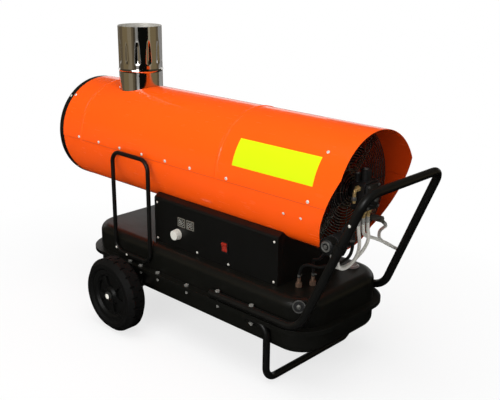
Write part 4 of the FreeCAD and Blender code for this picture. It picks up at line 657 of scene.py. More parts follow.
# The casings' inside is darkened as painted shade.
HOOD_ORANGE_PAINTED_INNER_SHADE = casing_coat_painted_inner_shade("hood_orange_coat_painted_inner_shade", 0.1842)
LOWER_ORANGE_PAINTED_INNER_SHADE = casing_coat_painted_inner_shade("lower_orange_coat_painted_inner_shade", 0.1825)
NODE_FINISHES: Dict[str, Finish] = {
    "upper_casing_front": HOOD_ORANGE_PAINTED_INNER_SHADE,
    "upper_casing_rear": HOOD_ORANGE_PAINTED_INNER_SHADE,
    "lower_casing": LOWER_ORANGE_PAINTED_INNER_SHADE,
    "tank_upper": TANK_BLACK,
    "tank_lower": TANK_BLACK,
    "tank_bolts": BOLT_GREY,
    "tank_fittings": AGED_BRASS,
    "nozzle_union": UNION_STEEL,
    "axle_nuts": AXLE_NUT,
}


class Palette:
    """Materials of the heater, built when first asked for."""

    def __init__(self) -> None:
        """Start with no materials."""
        self._made: Dict[str, bpy.types.Material] = {}

    def of(self, finish: Finish) -> bpy.types.Material:
        """Material of a finish.

        Args:
            finish: The finish.

        Returns:
            Its material.
        """
        if finish.name not in self._made:
            self._made[finish.name] = finish.build()
        return self._made[finish.name]

    def slot(self, slot: str) -> bpy.types.Material:
        """Material of one of the record's slots."""
        return self.of(SLOT_FINISHES[slot])


PALETTE = Palette()


MERGE_GAP = 1e-6
CURVE_STEPS = 10
SECTION_STEPS = 7


def lathe(profile: Sequence[Pair], steps: int, closed: bool = False) -> bmesh.types.BMesh:
    """Spin a profile about Z.

    Args:
        profile: Points of radius and height.
        steps: Steps of the full turn.
        closed: Whether the profile's last point joins its first.

    Returns:
        The turned shape with its normals outwards.
    """
    bm = bmesh.new()
    verts = [bm.verts.new((radius, 0.0, height)) for radius, height in profile]
    pairs = list(zip(verts, verts[1:]))
    if closed:
        pairs.append((verts[-1], verts[0]))
    edges = [bm.edges.new(pair) for pair in pairs]
    bmesh.ops.spin(bm, geom=verts + edges, cent=(0, 0, 0), axis=(0, 0, 1), dvec=(0, 0, 0), angle=math.tau,
                   steps=steps, use_merge=True, use_normal_flip=False, use_duplicate=False)
    bmesh.ops.remove_doubles(bm, verts=bm.verts, dist=MERGE_GAP)
    bmesh.ops.recalc_face_normals(bm, faces=bm.faces)
    return bm


def slab(size: Point, bevel: float, segments: int = 2) -> bmesh.types.BMesh:
    """Block with bevelled edges, centred at the origin.

    Args:
        size: Length of its sides.
        bevel: Width of the bevel.
        segments: Segments of the bevel.

    Returns:
        The block.
    """
    bm = bmesh.new()
    bmesh.ops.create_cube(bm, size=1.0)
    bmesh.ops.scale(bm, vec=size, verts=bm.verts)
    bmesh.ops.bevel(bm, geom=bm.edges, offset=bevel, offset_type="OFFSET", affect="EDGES", segments=segments,
                    profile=0.5, material=-1)
    return bm


def hexagon_nut(corner: float, height: float, bevel: float) -> bmesh.types.BMesh:
    """Hexagon head that stands on the origin.

    Args:
        corner: Radius over its corners.
        height: Height.
        bevel: Width of the bevel.

    Returns:
        The head.
    """
    bm = bmesh.new()
    bmesh.ops.create_cone(bm, cap_ends=True, segments=6, radius1=corner, radius2=corner, depth=height,
                          matrix=Matrix.Translation((0, 0, height / 2)))
    bmesh.ops.bevel(bm, geom=bm.edges, offset=bevel, offset_type="OFFSET", affect="EDGES", segments=2,
                    profile=0.5, material=-1)
    return bm


def facing(place: Vector, direction: Vector, roll: float = 0.0) -> Matrix:
    """Matrix that stands a shape's Z along a direction at a place."""
    stand = direction.to_track_quat("Z", "Y").to_matrix().to_4x4()
    return Matrix.Translation(place) @ stand @ Matrix.Rotation(roll, 4, "Z")


def smooth_line(points: Sequence[Point], resolution: int = 12) -> List[Vector]:
    """Points read from the NURBS spline of a route.

    Args:
        points: Route points, which are the spline's control points.
        resolution: Steps for each control point.

    Returns:
        Points along the smooth line.
    """
    curve = route_curve("route_line", points, 0.0)
    curve.resolution_u = resolution
    holder = bpy.data.objects.new("route_line", curve)
    bpy.context.collection.objects.link(holder)
    line = bpy.data.meshes.new_from_object(holder)
    found = [vert.co.copy() for vert in line.vertices]
    bpy.data.objects.remove(holder)
    bpy.data.curves.remove(curve)
    bpy.data.meshes.remove(line)
    return found


def route_curve(name: str, points: Sequence[Point], radius: float) -> bpy.types.Curve:
    """Curve of one open NURBS spline along a route.

    Args:
        name: The curve's name.
        points: Control points.
        radius: Radius of the round section, or 0 for a bare line.

    Returns:
        The curve.
    """
    curve = bpy.data.curves.new(name, "CURVE")
    curve.dimensions = "3D"
    curve.resolution_u = CURVE_STEPS
    curve.bevel_depth = radius
    curve.bevel_resolution = SECTION_STEPS if radius else 0
    curve.use_fill_caps = bool(radius)
    spline = curve.splines.new("NURBS")
    spline.points.add(len(points) - 1)
    for knot, point in zip(spline.points, points):
        knot.co = (*point, 1.0)
    spline.order_u = 3
    spline.use_endpoint_u = True
    return curve


def sweep(line: Sequence[Vector], radius_at: Callable[[float], float], sides: int) -> bmesh.types.BMesh:
    """Round tube along a line, which carries its ring attribute.

    Args:
        line: Points along the middle.
        radius_at: Radius at a length along the line.
        sides: Sides of the section.

    Returns:
        The closed tube.
    """
    bm = bmesh.new()
    layer = bm.verts.layers.float_vector.new("ring")
    ahead_of = [*line[1:], line[-1]]
    behind = [line[0], *line[:-1]]
    ways = [(after - before).normalized() for before, after in zip(behind, ahead_of)]
    turn = ways[0].to_track_quat("Z", "Y")
    run = 0.0
    stand = Matrix.LocRotScale(line[0], turn, Vector((1, 1, 1)) * radius_at(0.0))
    made = bmesh.ops.create_circle(bm, cap_ends=False, segments=sides, radius=1.0)
    for vert in made["verts"]:
        vert[layer] = Vector((vert.co.x, vert.co.y, 0.0))
    bmesh.ops.transform(bm, matrix=stand, verts=bm.verts)
    loop = bm.edges[:]
    bmesh.ops.edgeloop_fill(bm, edges=loop)
    for i in range(1, len(line)):
        run += (line[i] - line[i - 1]).length
        turn = ways[i - 1].rotation_difference(ways[i]) @ turn
        ahead = Matrix.LocRotScale(line[i], turn, Vector((1, 1, 1)) * radius_at(run))
        grown = bmesh.ops.extrude_edge_only(bm, edges=loop)["geom"]
        fresh = [item for item in grown if isinstance(item, bmesh.types.BMVert)]
        edges = [item for item in grown if isinstance(item, bmesh.types.BMEdge)]
        loop = [edge for edge in edges if set(edge.verts) <= set(fresh)]
        bmesh.ops.transform(bm, matrix=ahead @ stand.inverted(), verts=fresh)
        for vert in fresh:
            vert[layer] = Vector((vert[layer].x, vert[layer].y, run))
        stand = ahead
    bmesh.ops.edgeloop_fill(bm, edges=loop)
    bmesh.ops.recalc_face_normals(bm, faces=bm.faces)
    return bm


def line_length(line: Sequence[Vector]) -> float:
    """Length of a line of points."""
    return sum((b - a).length for a, b in zip(line, line[1:]))


class PieceMaker:
    """Gathers shapes into one piece and puts it in the scene."""

    def __init__(self, name: str) -> None:
        """Start an empty piece.

        Args:
            name: The piece's name.
        """
        self.name = name
        self.mesh = bmesh.new()
        self.materials: List[bpy.types.Material] = []

    def add(self, shape: bmesh.types.BMesh, material: bpy.types.Material,
            place: Optional[Matrix] = None) -> None:
        """Add a shape with a material at a place.

        Args:
            shape: The shape, which is used up.
            material: Its material.
            place: Matrix that places it.
        """
        if material not in self.materials:
            self.materials.append(material)
        index = self.materials.index(material)
        for face in shape.faces:
            face.material_index = index
            face.smooth = True
        if place is not None:
            bmesh.ops.transform(shape, matrix=place, verts=shape.verts)
        carrier = bpy.data.meshes.new("carrier")
        shape.to_mesh(carrier)
        shape.free()
        self.mesh.from_mesh(carrier)
        bpy.data.meshes.remove(carrier)

    def finish(self, body: Body, slot: str, sharp: float = 35.0,
               replaced: Sequence[str] = ()) -> bpy.types.Object:
        """Make the object.

        Args:
            body: Body that it rides on.
            slot: Record slot that it would take its finish from; not used.
            sharp: Angle in degrees above which an edge stays sharp.
            replaced: Nodes that the piece stands for.

        Returns:
            The piece's object.
        """
        data = bpy.data.meshes.new(self.name)
        self.mesh.to_mesh(data)
        self.mesh.free()
        for material in self.materials:
            data.materials.append(material)
        data.set_sharp_from_angle(angle=math.radians(sharp))
        piece = bpy.data.objects.new(self.name, data)
        bpy.context.collection.objects.link(piece)
        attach(piece, body.value)
        if replaced:
            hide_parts(*replaced)
        LOG.info("%s: %d faces on %s", self.name, len(data.polygons), body.value)
        return piece


@dataclass
class Barrel:
    """Air barrel: its sizes, and what the casings carry.

    Attributes:
        axis_z: Height of the barrel's axis.
        radius: Outside radius of the upper casings.
        lower_radius: Outside radius of the lower casing.
        ring_radius: Outside radius of the outlet ring.
        patch_x: Ends of the plain yellow patch.
        patch_turn: Lower and upper edge of the patch, in degrees above level.
        seam_x: Ends of the painted shadow strips along the joint between upper and lower casings.
        seam_turn: Lower and upper edge of those strips, in degrees above level.
        gap: Gap under the patch and the shadow strips.
        foil: Thickness of the patch and the shadow strips.
        steps: Steps round a strip.
    """

    axis_z: float = BARREL_AXIS
    radius: float = 0.185
    lower_radius: float = 0.1833
    ring_radius: float = 0.184
    patch_x: Pair = (0.195, 0.493)
    patch_turn: Pair = (14.7, 40.5)
    seam_x: Pair = (-0.6505, 0.5405)
    seam_turn: Pair = (-2.15, -1.3)
    gap: float = 0.0001
    foil: float = 0.0003
    steps: int = 20

    def outward(self, turn: float, side: Side = Side.NEAR) -> Vector:
        """Direction out of the barrel at a turn above level."""
        angle = math.radians(turn)
        return Vector((0.0, side.value * math.cos(angle), math.sin(angle)))

    def on_skin(self, x: float, turn: float, radius: float, side: Side = Side.NEAR) -> Vector:
        """Point on a round skin of the barrel."""
        return Vector((x, 0.0, self.axis_z)) + self.outward(turn, side) * radius

    def _strip(self, ends: Pair, turns: Pair, skin: float) -> bmesh.types.BMesh:
        """Thin strip bent round the barrel's near side.

        Args:
            ends: Its ends along the barrel.
            turns: Its lower and upper edge, in degrees above level.
            skin: Radius of the casing under it.

        Returns:
            The strip's mesh.
        """
        bm = bmesh.new()
        radius = skin + self.gap
        low, high = (math.radians(turn) for turn in turns)
        edge_y = -radius * math.cos(low)
        edge_z = self.axis_z + radius * math.sin(low)
        verts = [bm.verts.new((x, edge_y, edge_z)) for x in ends]
        edge = bm.edges.new(verts)
        bmesh.ops.spin(bm, geom=verts + [edge], cent=(0, 0, self.axis_z), axis=(-1, 0, 0), dvec=(0, 0, 0),
                       angle=high - low, steps=self.steps, use_merge=False, use_normal_flip=False,
                       use_duplicate=False)
        bmesh.ops.recalc_face_normals(bm, faces=bm.faces)
        if next(iter(bm.faces)).normal.y > 0:
            bmesh.ops.reverse_faces(bm, faces=bm.faces)
        bmesh.ops.solidify(bm, geom=bm.faces[:], thickness=-self.foil)
        bmesh.ops.recalc_face_normals(bm, faces=bm.faces)
        return bm

    def yellow_patch(self) -> bpy.types.Object:
        """Plain foil on the rear casing.

        Returns:
            The patch.
        """
        maker = PieceMaker("yellow_patch")
        maker.add(self._strip(self.patch_x, self.patch_turn, self.radius), PALETTE.of(PATCH_YELLOW))
        return maker.finish(Body.HEATER, "casing_orange")

    def seam_painted_shadows(self) -> bpy.types.Object:
        """Painted shadow under the upper casings' edges, on both sides.

        Returns:
            The painted shadow strips.
        """
        maker = PieceMaker("seam_painted_shadows")
        for side in Side:
            # Each strip is painted shadow under an upper casing's edge.
            strip = self._strip(self.seam_x, self.seam_turn, self.lower_radius)
            if side is Side.FAR:
                bmesh.ops.reverse_faces(strip, faces=strip.faces)
            maker.add(strip, PALETTE.of(SEAM_PAINTED_SHADOW), Matrix.Diagonal((1.0, -side.value, 1.0, 1.0)))
        return maker.finish(Body.HEATER, "casing_orange")


@dataclass
class FluePipe:
    """Flue with pressed teardrop dents, polished outside and satin inside.

    Attributes:
        x: Place of its axis along the barrel.
        radius: Outside radius.
        wall: Wall thickness.
        low: Height of its lower end.
        top: Height of its upper end.
        rows: Rows of faces up the pipe.
        steps: Steps round the pipe.
        bead: Height of the stop bead.
        bead_radius: How far the bead stands out.
        bead_reach: Half the bead's height, in bead radii.
        dents: Number of dents round the pipe.
        dent_turn: Turn of the first dent, in degrees.
        dent_low: Lower end of the dents.
        dent_top: Upper end of the dents.
        dent_depth: Depth of a dent at its foot.
        dent_width: Half-width of a dent at its foot.
        dent_taper: Share of the width that is lost at the top.
        dent_fade: Share of the depth that is lost at the top.
        dent_ends: Shares of the height where the foot and the head run out.
        dent_round: Power that rounds a dent's section.
    """

    x: float = -0.4285
    radius: float = 0.075
    wall: float = 0.0012
    low: float = 0.734
    top: float = 0.97
    rows: int = 84
    steps: int = 192
    bead: float = 0.822
    bead_radius: float = 0.0025
    bead_reach: float = 1.8
    dents: int = 12
    dent_turn: float = -46.7
    dent_low: float = 0.84
    dent_top: float = 0.93
    dent_depth: float = 0.0038
    dent_width: float = 0.011
    dent_taper: float = 0.62
    dent_fade: float = 0.45
    dent_ends: Pair = (0.22, 0.35)
    dent_round: float = 0.8

    def _wall_line(self, radius: float) -> List[Pair]:
        """Points up one face of the wall, with the bead.

        Args:
            radius: Radius of the plain face.

        Returns:
            Radius and height of each point.
        """
        line = []
        for row in range(self.rows + 1):
            height = self.low + (self.top - self.low) * row / self.rows
            gap = abs(height - self.bead) / (self.bead_reach * self.bead_radius)
            swell = self.bead_radius * 0.5 * (1 + math.cos(math.pi * gap)) if gap < 1 else 0.0
            line.append((radius + swell, height))
        return line

    def _dent(self, turn: float, height: float) -> float:
        """Depth of the dents at a point of the pipe.

        Args:
            turn: Turn of the point, in radians.
            height: Height of the point.

        Returns:
            The depth, or 0 beside the dents.
        """
        if not self.dent_low < height < self.dent_top:
            return 0.0
        rise = (height - self.dent_low) / (self.dent_top - self.dent_low)
        pitch = math.tau / self.dents
        offset = (turn - math.radians(self.dent_turn) + pitch / 2) % pitch - pitch / 2
        across = abs(offset * self.radius) / (self.dent_width * (1.0 - self.dent_taper * rise))
        if across >= 1:
            return 0.0
        foot, head = self.dent_ends
        ends = min(1.0, rise / foot) * min(1.0, (1 - rise) / head)
        ends = ends * ends * (3 - 2 * ends)
        bowl = (0.5 + 0.5 * math.cos(math.pi * across)) ** self.dent_round
        return self.dent_depth * (1 - self.dent_fade * rise) * ends * bowl

    def build(self) -> bpy.types.Object:
        """Build the pipe.

        Returns:
            The pipe, in the node's place.
        """
        outer = self._wall_line(self.radius)
        inner = self._wall_line(self.radius - self.wall)
        bm = lathe(outer + inner[::-1], self.steps, closed=True)
        for vert in bm.verts:
            across = math.hypot(vert.co.x, vert.co.y)
            depth = self._dent(math.atan2(vert.co.y, vert.co.x), vert.co.z)
            vert.co.x *= (across - depth) / across
            vert.co.y *= (across - depth) / across
        maker = PieceMaker("flue_pipe_dented")
        maker.add(bm, PALETTE.slot("flue_steel"), Matrix.Translation((self.x, 0, 0)))
        pipe = maker.finish(Body.HEATER, "flue_steel", replaced=["flue_pipe"])
        pipe.data.materials.append(PALETTE.of(FLUE_INSIDE))
        for face in pipe.data.polygons:
            outward = Vector((face.center.x - self.x, face.center.y, 0.0))
            if face.normal.dot(outward) < 0:
                face.material_index = len(pipe.data.materials) - 1
        return pipe


@dataclass
class FanGuard:
    """Round wire guard over the fan.

    Attributes:
        barrel: The barrel that holds it.
        face: Place of its rear face.
        wire: Wire diameter.
        pitch: Spacing of the rings.
        rim: Outside radius.
        bore: Smallest radius of the flat rings.
        spokes: Number of spokes.
        lap: How far the spokes lie inside the rings, in wires.
        dome: Place along the barrel and radius of each bend of a spoke's inner end.
        dome_rings: Place along the barrel and radius of each ring over the motor's end.
        ring_steps: Steps round a ring.
        ring_sides: Sides of a ring's wire.
        spoke_sides: Sides of a spoke's wire.
    """

    barrel: Barrel
    face: float = 0.48
    wire: float = 0.003
    pitch: float = 0.0082
    rim: float = 0.1816
    bore: float = 0.053
    spokes: int = 8
    lap: float = 0.9
    dome: Tuple[Pair, ...] = ((0.4758, 0.056), (0.4855, 0.046), (0.4902, 0.036), (0.4902, 0.0215))
    dome_rings: Tuple[Pair, ...] = ((0.4872, 0.0475), (0.4912, 0.0393), (0.493, 0.0311), (0.4931, 0.0229))
    ring_steps: int = 112
    ring_sides: int = 8
    spoke_sides: int = 10

    def build(self) -> bpy.types.Object:
        """Build rings and spokes of round wire.

        Returns:
            The guard, in the node's place.
        """
        half = self.wire / 2
        maker = PieceMaker("fan_guard_wires")
        grey = PALETTE.of(GUARD_GREY)
        along = Vector((1.0, 0.0, 0.0))
        middle = self.face - half
        rings = list(self.dome_rings)
        radius = self.rim - half
        while radius - half >= self.bore:
            rings.append((middle, radius))
            radius -= self.pitch
        turns = [math.tau * i / self.ring_sides for i in range(self.ring_sides)]
        for x, radius in rings:
            section = [(radius + half * math.cos(turn), half * math.sin(turn)) for turn in turns]
            place = facing(Vector((x, 0.0, self.barrel.axis_z)), along)
            maker.add(lathe(section, self.ring_steps, closed=True), grey, place)
        bends = [(middle - self.wire * self.lap, self.rim - half), *self.dome]
        for i in range(self.spokes):
            turn = math.tau * i / self.spokes
            way = Vector((0.0, -math.sin(turn), math.cos(turn)))
            points = [Vector((x, 0.0, self.barrel.axis_z)) + way * radius for x, radius in bends]
            line = smooth_line([tuple(point) for point in points])
            maker.add(sweep(line, lambda _: half, self.spoke_sides), grey)
        return maker.finish(Body.HEATER, "zinc", replaced=["fan_guard"])


@dataclass
class CrossHead:
    """Pan-head screw with a cross recess drawn as two dark arms of painted shade.

    Attributes:
        radius: Radius of the head.
        height: Height of the head.
        lift: Gap under the head.
        outline: Points of the dome, as shares of the radius and the height.
        arm: Length and width of the recess's arms as shares of the radius, and their thickness as a share
            of the height.
        arm_bevel: Bevel of the arms, as a share of the radius.
        arm_place: Height of the arms' middle, as a share of the height.
        steps: Steps round the head.
    """

    radius: float = 0.005
    height: float = 0.003
    lift: float = 0.0002
    outline: Tuple[Pair, ...] = ((0.0, 0.0), (0.96, 0.0), (1.0, 0.18), (0.93, 0.55), (0.7, 0.86),
                                 (0.36, 0.985), (0.0, 1.0))
    arm: Point = (0.8, 0.16, 0.12)
    arm_bevel: float = 0.02
    arm_place: float = 0.965
    steps: int = 18

    def onto(self, maker: PieceMaker, place: Vector, direction: Vector, roll: float) -> None:
        """Add one screw to a piece.

        Args:
            maker: The piece.
            place: Point on the sheet.
            direction: Direction out of the sheet.
            roll: Turn of its recess.
        """
        r, h = self.radius, self.height
        dome = lathe([(r * across, h * up) for across, up in self.outline], self.steps)
        seat = place + direction * self.lift
        maker.add(dome, PALETTE.of(SCREW_BRIGHT), facing(seat, direction, roll))
        # The recess is not cut; its arms are painted shade.
        length, width, thick = self.arm
        middle = seat + direction * (h * self.arm_place)
        for quarter in (0.0, math.pi / 2):
            arm = slab((r * length, r * width, h * thick), r * self.arm_bevel, 1)
            maker.add(arm, PALETTE.of(RECESS_PAINTED_SHADE), facing(middle, direction, roll + quarter))


@dataclass
class SheetScrews:
    """Screws of the casings, the outlet ring, the panel, the loops and the handle's legs.

    Attributes:
        barrel: The barrel that the casing screws sit on.
        casing_start: Outlet end of the casings.
        casing_end: Hood tip.
        section: Seam between the upper casings.
        first: First seam screw, from the outlet end.
        pitch: Spacing of the seam screws.
        count: Number of evenly spaced seam screws.
        rise: Height of the seam screws above the axis.
        after_section: Seam screw behind the section's seam, from that seam.
        before_tip: Last seam screw, from the hood's tip.
        upper_tip: Upper hood screw, from the hood's tip.
        upper_start: Upper casing screw, from the outlet end.
        upper_turn: Turn of both upper screws, in degrees above level.
        panel_start: Outlet end of the panel.
        panel_length: Length of the panel.
        panel_face: Y of the panel's face.
        panel_foot: Height of the panel's foot.
        panel_inset: Distance of the outer panel screws from the panel's ends.
        panel_rows: Height of the low and the top panel screws over the foot.
        panel_shares: Places of the middle panel screws between the outer ones.
        lower_places: X and turn of the lower casing's small screws.
        ring_x: Place of the outlet ring's small screws.
        ring_turns: Turns of the outlet ring's small screws.
        tube_places: Screws in the loops and the handle's legs, by their distance from the middle.
        casing_roll: Turn of the first casing screw's recess and the step to the next, in radians.
        small_roll: The same for the small screws.
        head: Head of a casing screw.
        panel_head: Head of a panel screw.
        small_head: Head of a small screw.
    """

    barrel: Barrel
    casing_start: float = -0.6505
    casing_end: float = 0.576
    section: float = 0.145
    first: float = 0.097
    pitch: float = 0.115
    count: int = 6
    rise: float = 0.0045
    after_section: float = 0.033
    before_tip: float = 0.092
    upper_tip: float = 0.074
    upper_start: float = 0.009
    upper_turn: float = 46.0
    panel_start: float = -0.193
    panel_length: float = 0.546
    panel_face: float = -0.15
    panel_foot: float = 0.29
    panel_inset: float = 0.014
    panel_rows: Pair = (0.011, 0.136)
    panel_shares: Pair = (0.37, 0.64)
    lower_places: Tuple[Pair, ...] = ((0.392, -16.6), (0.454, -16.5))
    ring_x: float = -0.6655
    ring_turns: Pair = (44.0, -48.0)
    tube_places: Tuple[Point, ...] = ((-0.337, 0.2058, 0.2385), (-0.281, 0.2062, 0.226),
                                      (0.629, 0.1941, 0.559))
    casing_roll: Pair = (0.3, 1.1)
    small_roll: Pair = (0.7, 0.9)
    head: CrossHead = field(default_factory=CrossHead)
    panel_head: CrossHead = field(default_factory=lambda: CrossHead(radius=0.004, height=0.0026))
    small_head: CrossHead = field(default_factory=lambda: CrossHead(radius=0.0042, height=0.0022, lift=0.0))

    def _casing_places(self) -> List[Pair]:
        """Places of the casing screws on one side.

        Returns:
            X and turn of each screw.
        """
        level = math.degrees(math.asin(self.rise / self.barrel.radius))
        xs = [self.casing_start + self.first + i * self.pitch for i in range(self.count)]
        xs += [self.section + self.after_section, self.casing_end - self.before_tip]
        places = [(x, level) for x in xs]
        places.append((self.casing_end - self.upper_tip, self.upper_turn))
        places.append((self.casing_start + self.upper_start, self.upper_turn))
        return places

    def _panel_places(self) -> List[Pair]:
        """Places of the panel screws.

        Returns:
            X and height of each screw, from the panel's start and foot.
        """
        left = self.panel_inset
        right = self.panel_length - left
        low, top = self.panel_rows
        middles = [left + (right - left) * share for share in self.panel_shares]
        return [(x, low) for x in (left, *middles, right)] + [(left, top), (right, top)]

    def build(self) -> bpy.types.Object:
        """Build the casing and panel screws in one piece.

        Returns:
            The screws, in the node's place.
        """
        maker = PieceMaker("sheet_screw_heads")
        roll, step = self.casing_roll
        for side in Side:
            for x, turn in self._casing_places():
                place = self.barrel.on_skin(x, turn, self.barrel.radius, side)
                self.head.onto(maker, place, self.barrel.outward(turn, side), roll)
                roll += step
        for x, z in self._panel_places():
            place = Vector((self.panel_start + x, self.panel_face, self.panel_foot + z))
            self.panel_head.onto(maker, place, Vector((0, -1, 0)), roll)
            roll += step
        return maker.finish(Body.HEATER, "zinc", replaced=["sheet_screws"])

    def build_small(self) -> bpy.types.Object:
        """Build the small screws of the lower casing, the outlet ring, the loops and the handle's legs.

        Returns:
            The screws.
        """
        maker = PieceMaker("small_screw_heads")
        roll, step = self.small_roll
        spots = [(x, turn, self.barrel.lower_radius) for x, turn in self.lower_places]
        spots += [(self.ring_x, turn, self.barrel.ring_radius) for turn in self.ring_turns]
        for side in Side:
            for x, turn, radius in spots:
                place = self.barrel.on_skin(x, turn, radius, side)
                self.small_head.onto(maker, place, self.barrel.outward(turn, side), roll)
                roll += step
        for x, y, z in self.tube_places:
            for side in Side:
                out = Vector((0.0, side.value, 0.0))
                self.small_head.onto(maker, Vector((x, side.value * y, z)), out, roll)
                roll += step
        return maker.finish(Body.HEATER, "zinc")


@dataclass
class PanelDisplays:
    """Windows and digits of the control panel's two displays.

    Attributes:
        face: Y of the display frames' face.
        centres: X of each display.
        height: Height of the displays' middle.
        window: Width and height of a window.
        window_bevel: Bevel of a window, in plates.
        digit: Width and height of a digit, between the middles of its bars.
        digit_shift: Distance of the digits from a display's middle.
        stroke: Width of a bar.
        bar_gap: What a bar lacks of a digit's side, in strokes.
        bar_place: Distance of the bars' middle from the face, in plates.
        bar_bevel: Bevel of a bar, in plates.
        plate: Thickness of a bar, and half that of a window.
    """

    face: float = -0.1525
    centres: Pair = (-0.059, -0.018)
    height: float = 0.384
    window: Pair = (0.028, 0.024)
    window_bevel: float = 0.5
    digit: Pair = (0.0085, 0.0165)
    digit_shift: float = 0.0063
    stroke: float = 0.0019
    bar_gap: float = 1.3
    bar_place: float = 1.3
    bar_bevel: float = 0.3
    plate: float = 0.0005

    def _digit(self, maker: PieceMaker, x: float) -> None:
        """Add the seven bars of one digit.

        Args:
            maker: The displays' piece.
            x: Middle of the digit.
        """
        wide, high = self.digit
        grey = PALETTE.of(SEGMENT_GREY)
        y = self.face - self.plate * self.bar_place
        bevel = self.plate * self.bar_bevel
        gap = self.stroke * self.bar_gap
        for row in (-1, 0, 1):
            bar = slab((wide - gap, self.plate, self.stroke), bevel, 1)
            maker.add(bar, grey, Matrix.Translation((x, y, self.height + row * high / 2)))
        for column in (-1, 1):
            for row in (-1, 1):
                bar = slab((self.stroke, self.plate, high / 2 - gap), bevel, 1)
                place = (x + column * wide / 2, y, self.height + row * high / 4)
                maker.add(bar, grey, Matrix.Translation(place))

    def build(self) -> bpy.types.Object:
        """Build the windows and their digits.

        Returns:
            The display faces.
        """
        maker = PieceMaker("display_faces")
        wide, high = self.window
        for x in self.centres:
            pane = slab((wide, self.plate * 2, high), self.plate * self.window_bevel, 2)
            maker.add(pane, PALETTE.of(WINDOW_DARK), Matrix.Translation((x, self.face, self.height)))
            for shift in (-self.digit_shift, self.digit_shift):
                self._digit(maker, x + shift)
        return maker.finish(Body.HEATER, "display_grey")


@dataclass
class FuelGauge:
    """Dial on the tank's float gauge.

    Attributes:
        centre: Middle of the dial's face.
        radius: Radius of the dial.
        rim: Points of the rim's section, as radius beyond the dial's and height.
        rim_steps: Steps round the rim.
        marks: Number of scale marks.
        scale: Turn of the whole scale, in degrees.
        mark: Width, length and thickness of a mark.
        mark_place: Distance of the marks from the middle as a share of the radius, and their height.
        needle: Width, length and thickness of the needle.
        needle_turn: Turn of the needle, in radians.
        needle_place: Distance of the needle's middle from the pin, and its height.
        bevels: Bevel of a mark and of the needle.
        pin: Points of the pin's outline, as radius and height.
        pin_steps: Steps round the pin.
    """

    centre: Point = (0.415, 0.131, 0.295)
    radius: float = 0.0155
    rim: Tuple[Pair, ...] = ((-0.0012, 0.0), (-0.0012, 0.0012), (0.0, 0.0017), (0.0008, 0.001), (0.0008, 0.0))
    rim_steps: int = 48
    marks: int = 9
    scale: float = 240.0
    mark: Point = (0.0008, 0.003, 0.0003)
    mark_place: Pair = (0.75, 0.0001)
    needle: Point = (0.0011, 0.014, 0.0005)
    needle_turn: float = 0.7
    needle_place: Pair = (0.004, 0.0006)
    bevels: Pair = (0.0001, 0.0002)
    pin: Tuple[Pair, ...] = ((0.0022, 0.0), (0.0022, 0.0011), (0.0015, 0.0015), (0.0, 0.0016))
    pin_steps: int = 20

    def build(self) -> bpy.types.Object:
        """Build the rim, the scale marks and the needle.

        Returns:
            The dial.
        """
        maker = PieceMaker("gauge_dial")
        middle = Matrix.Translation(self.centre)
        black = PALETTE.slot("plastic_black")
        mark_bevel, needle_bevel = self.bevels
        rim = [(self.radius + out, height) for out, height in self.rim]
        maker.add(lathe(rim, self.rim_steps, closed=True), PALETTE.slot("zinc"), middle)
        share, height = self.mark_place
        for i in range(self.marks):
            turn = math.radians(-self.scale / 2 + self.scale * i / (self.marks - 1))
            out = Matrix.Translation((0, self.radius * share, height))
            maker.add(slab(self.mark, mark_bevel, 1), black, middle @ Matrix.Rotation(turn, 4, "Z") @ out)
        out = Matrix.Translation((0, *self.needle_place))
        place = middle @ Matrix.Rotation(self.needle_turn, 4, "Z") @ out
        maker.add(slab(self.needle, needle_bevel, 1), PALETTE.slot("rocker_red"), place)
        maker.add(lathe(self.pin, self.pin_steps), black, middle)
        return maker.finish(Body.HEATER, "gauge_pale")


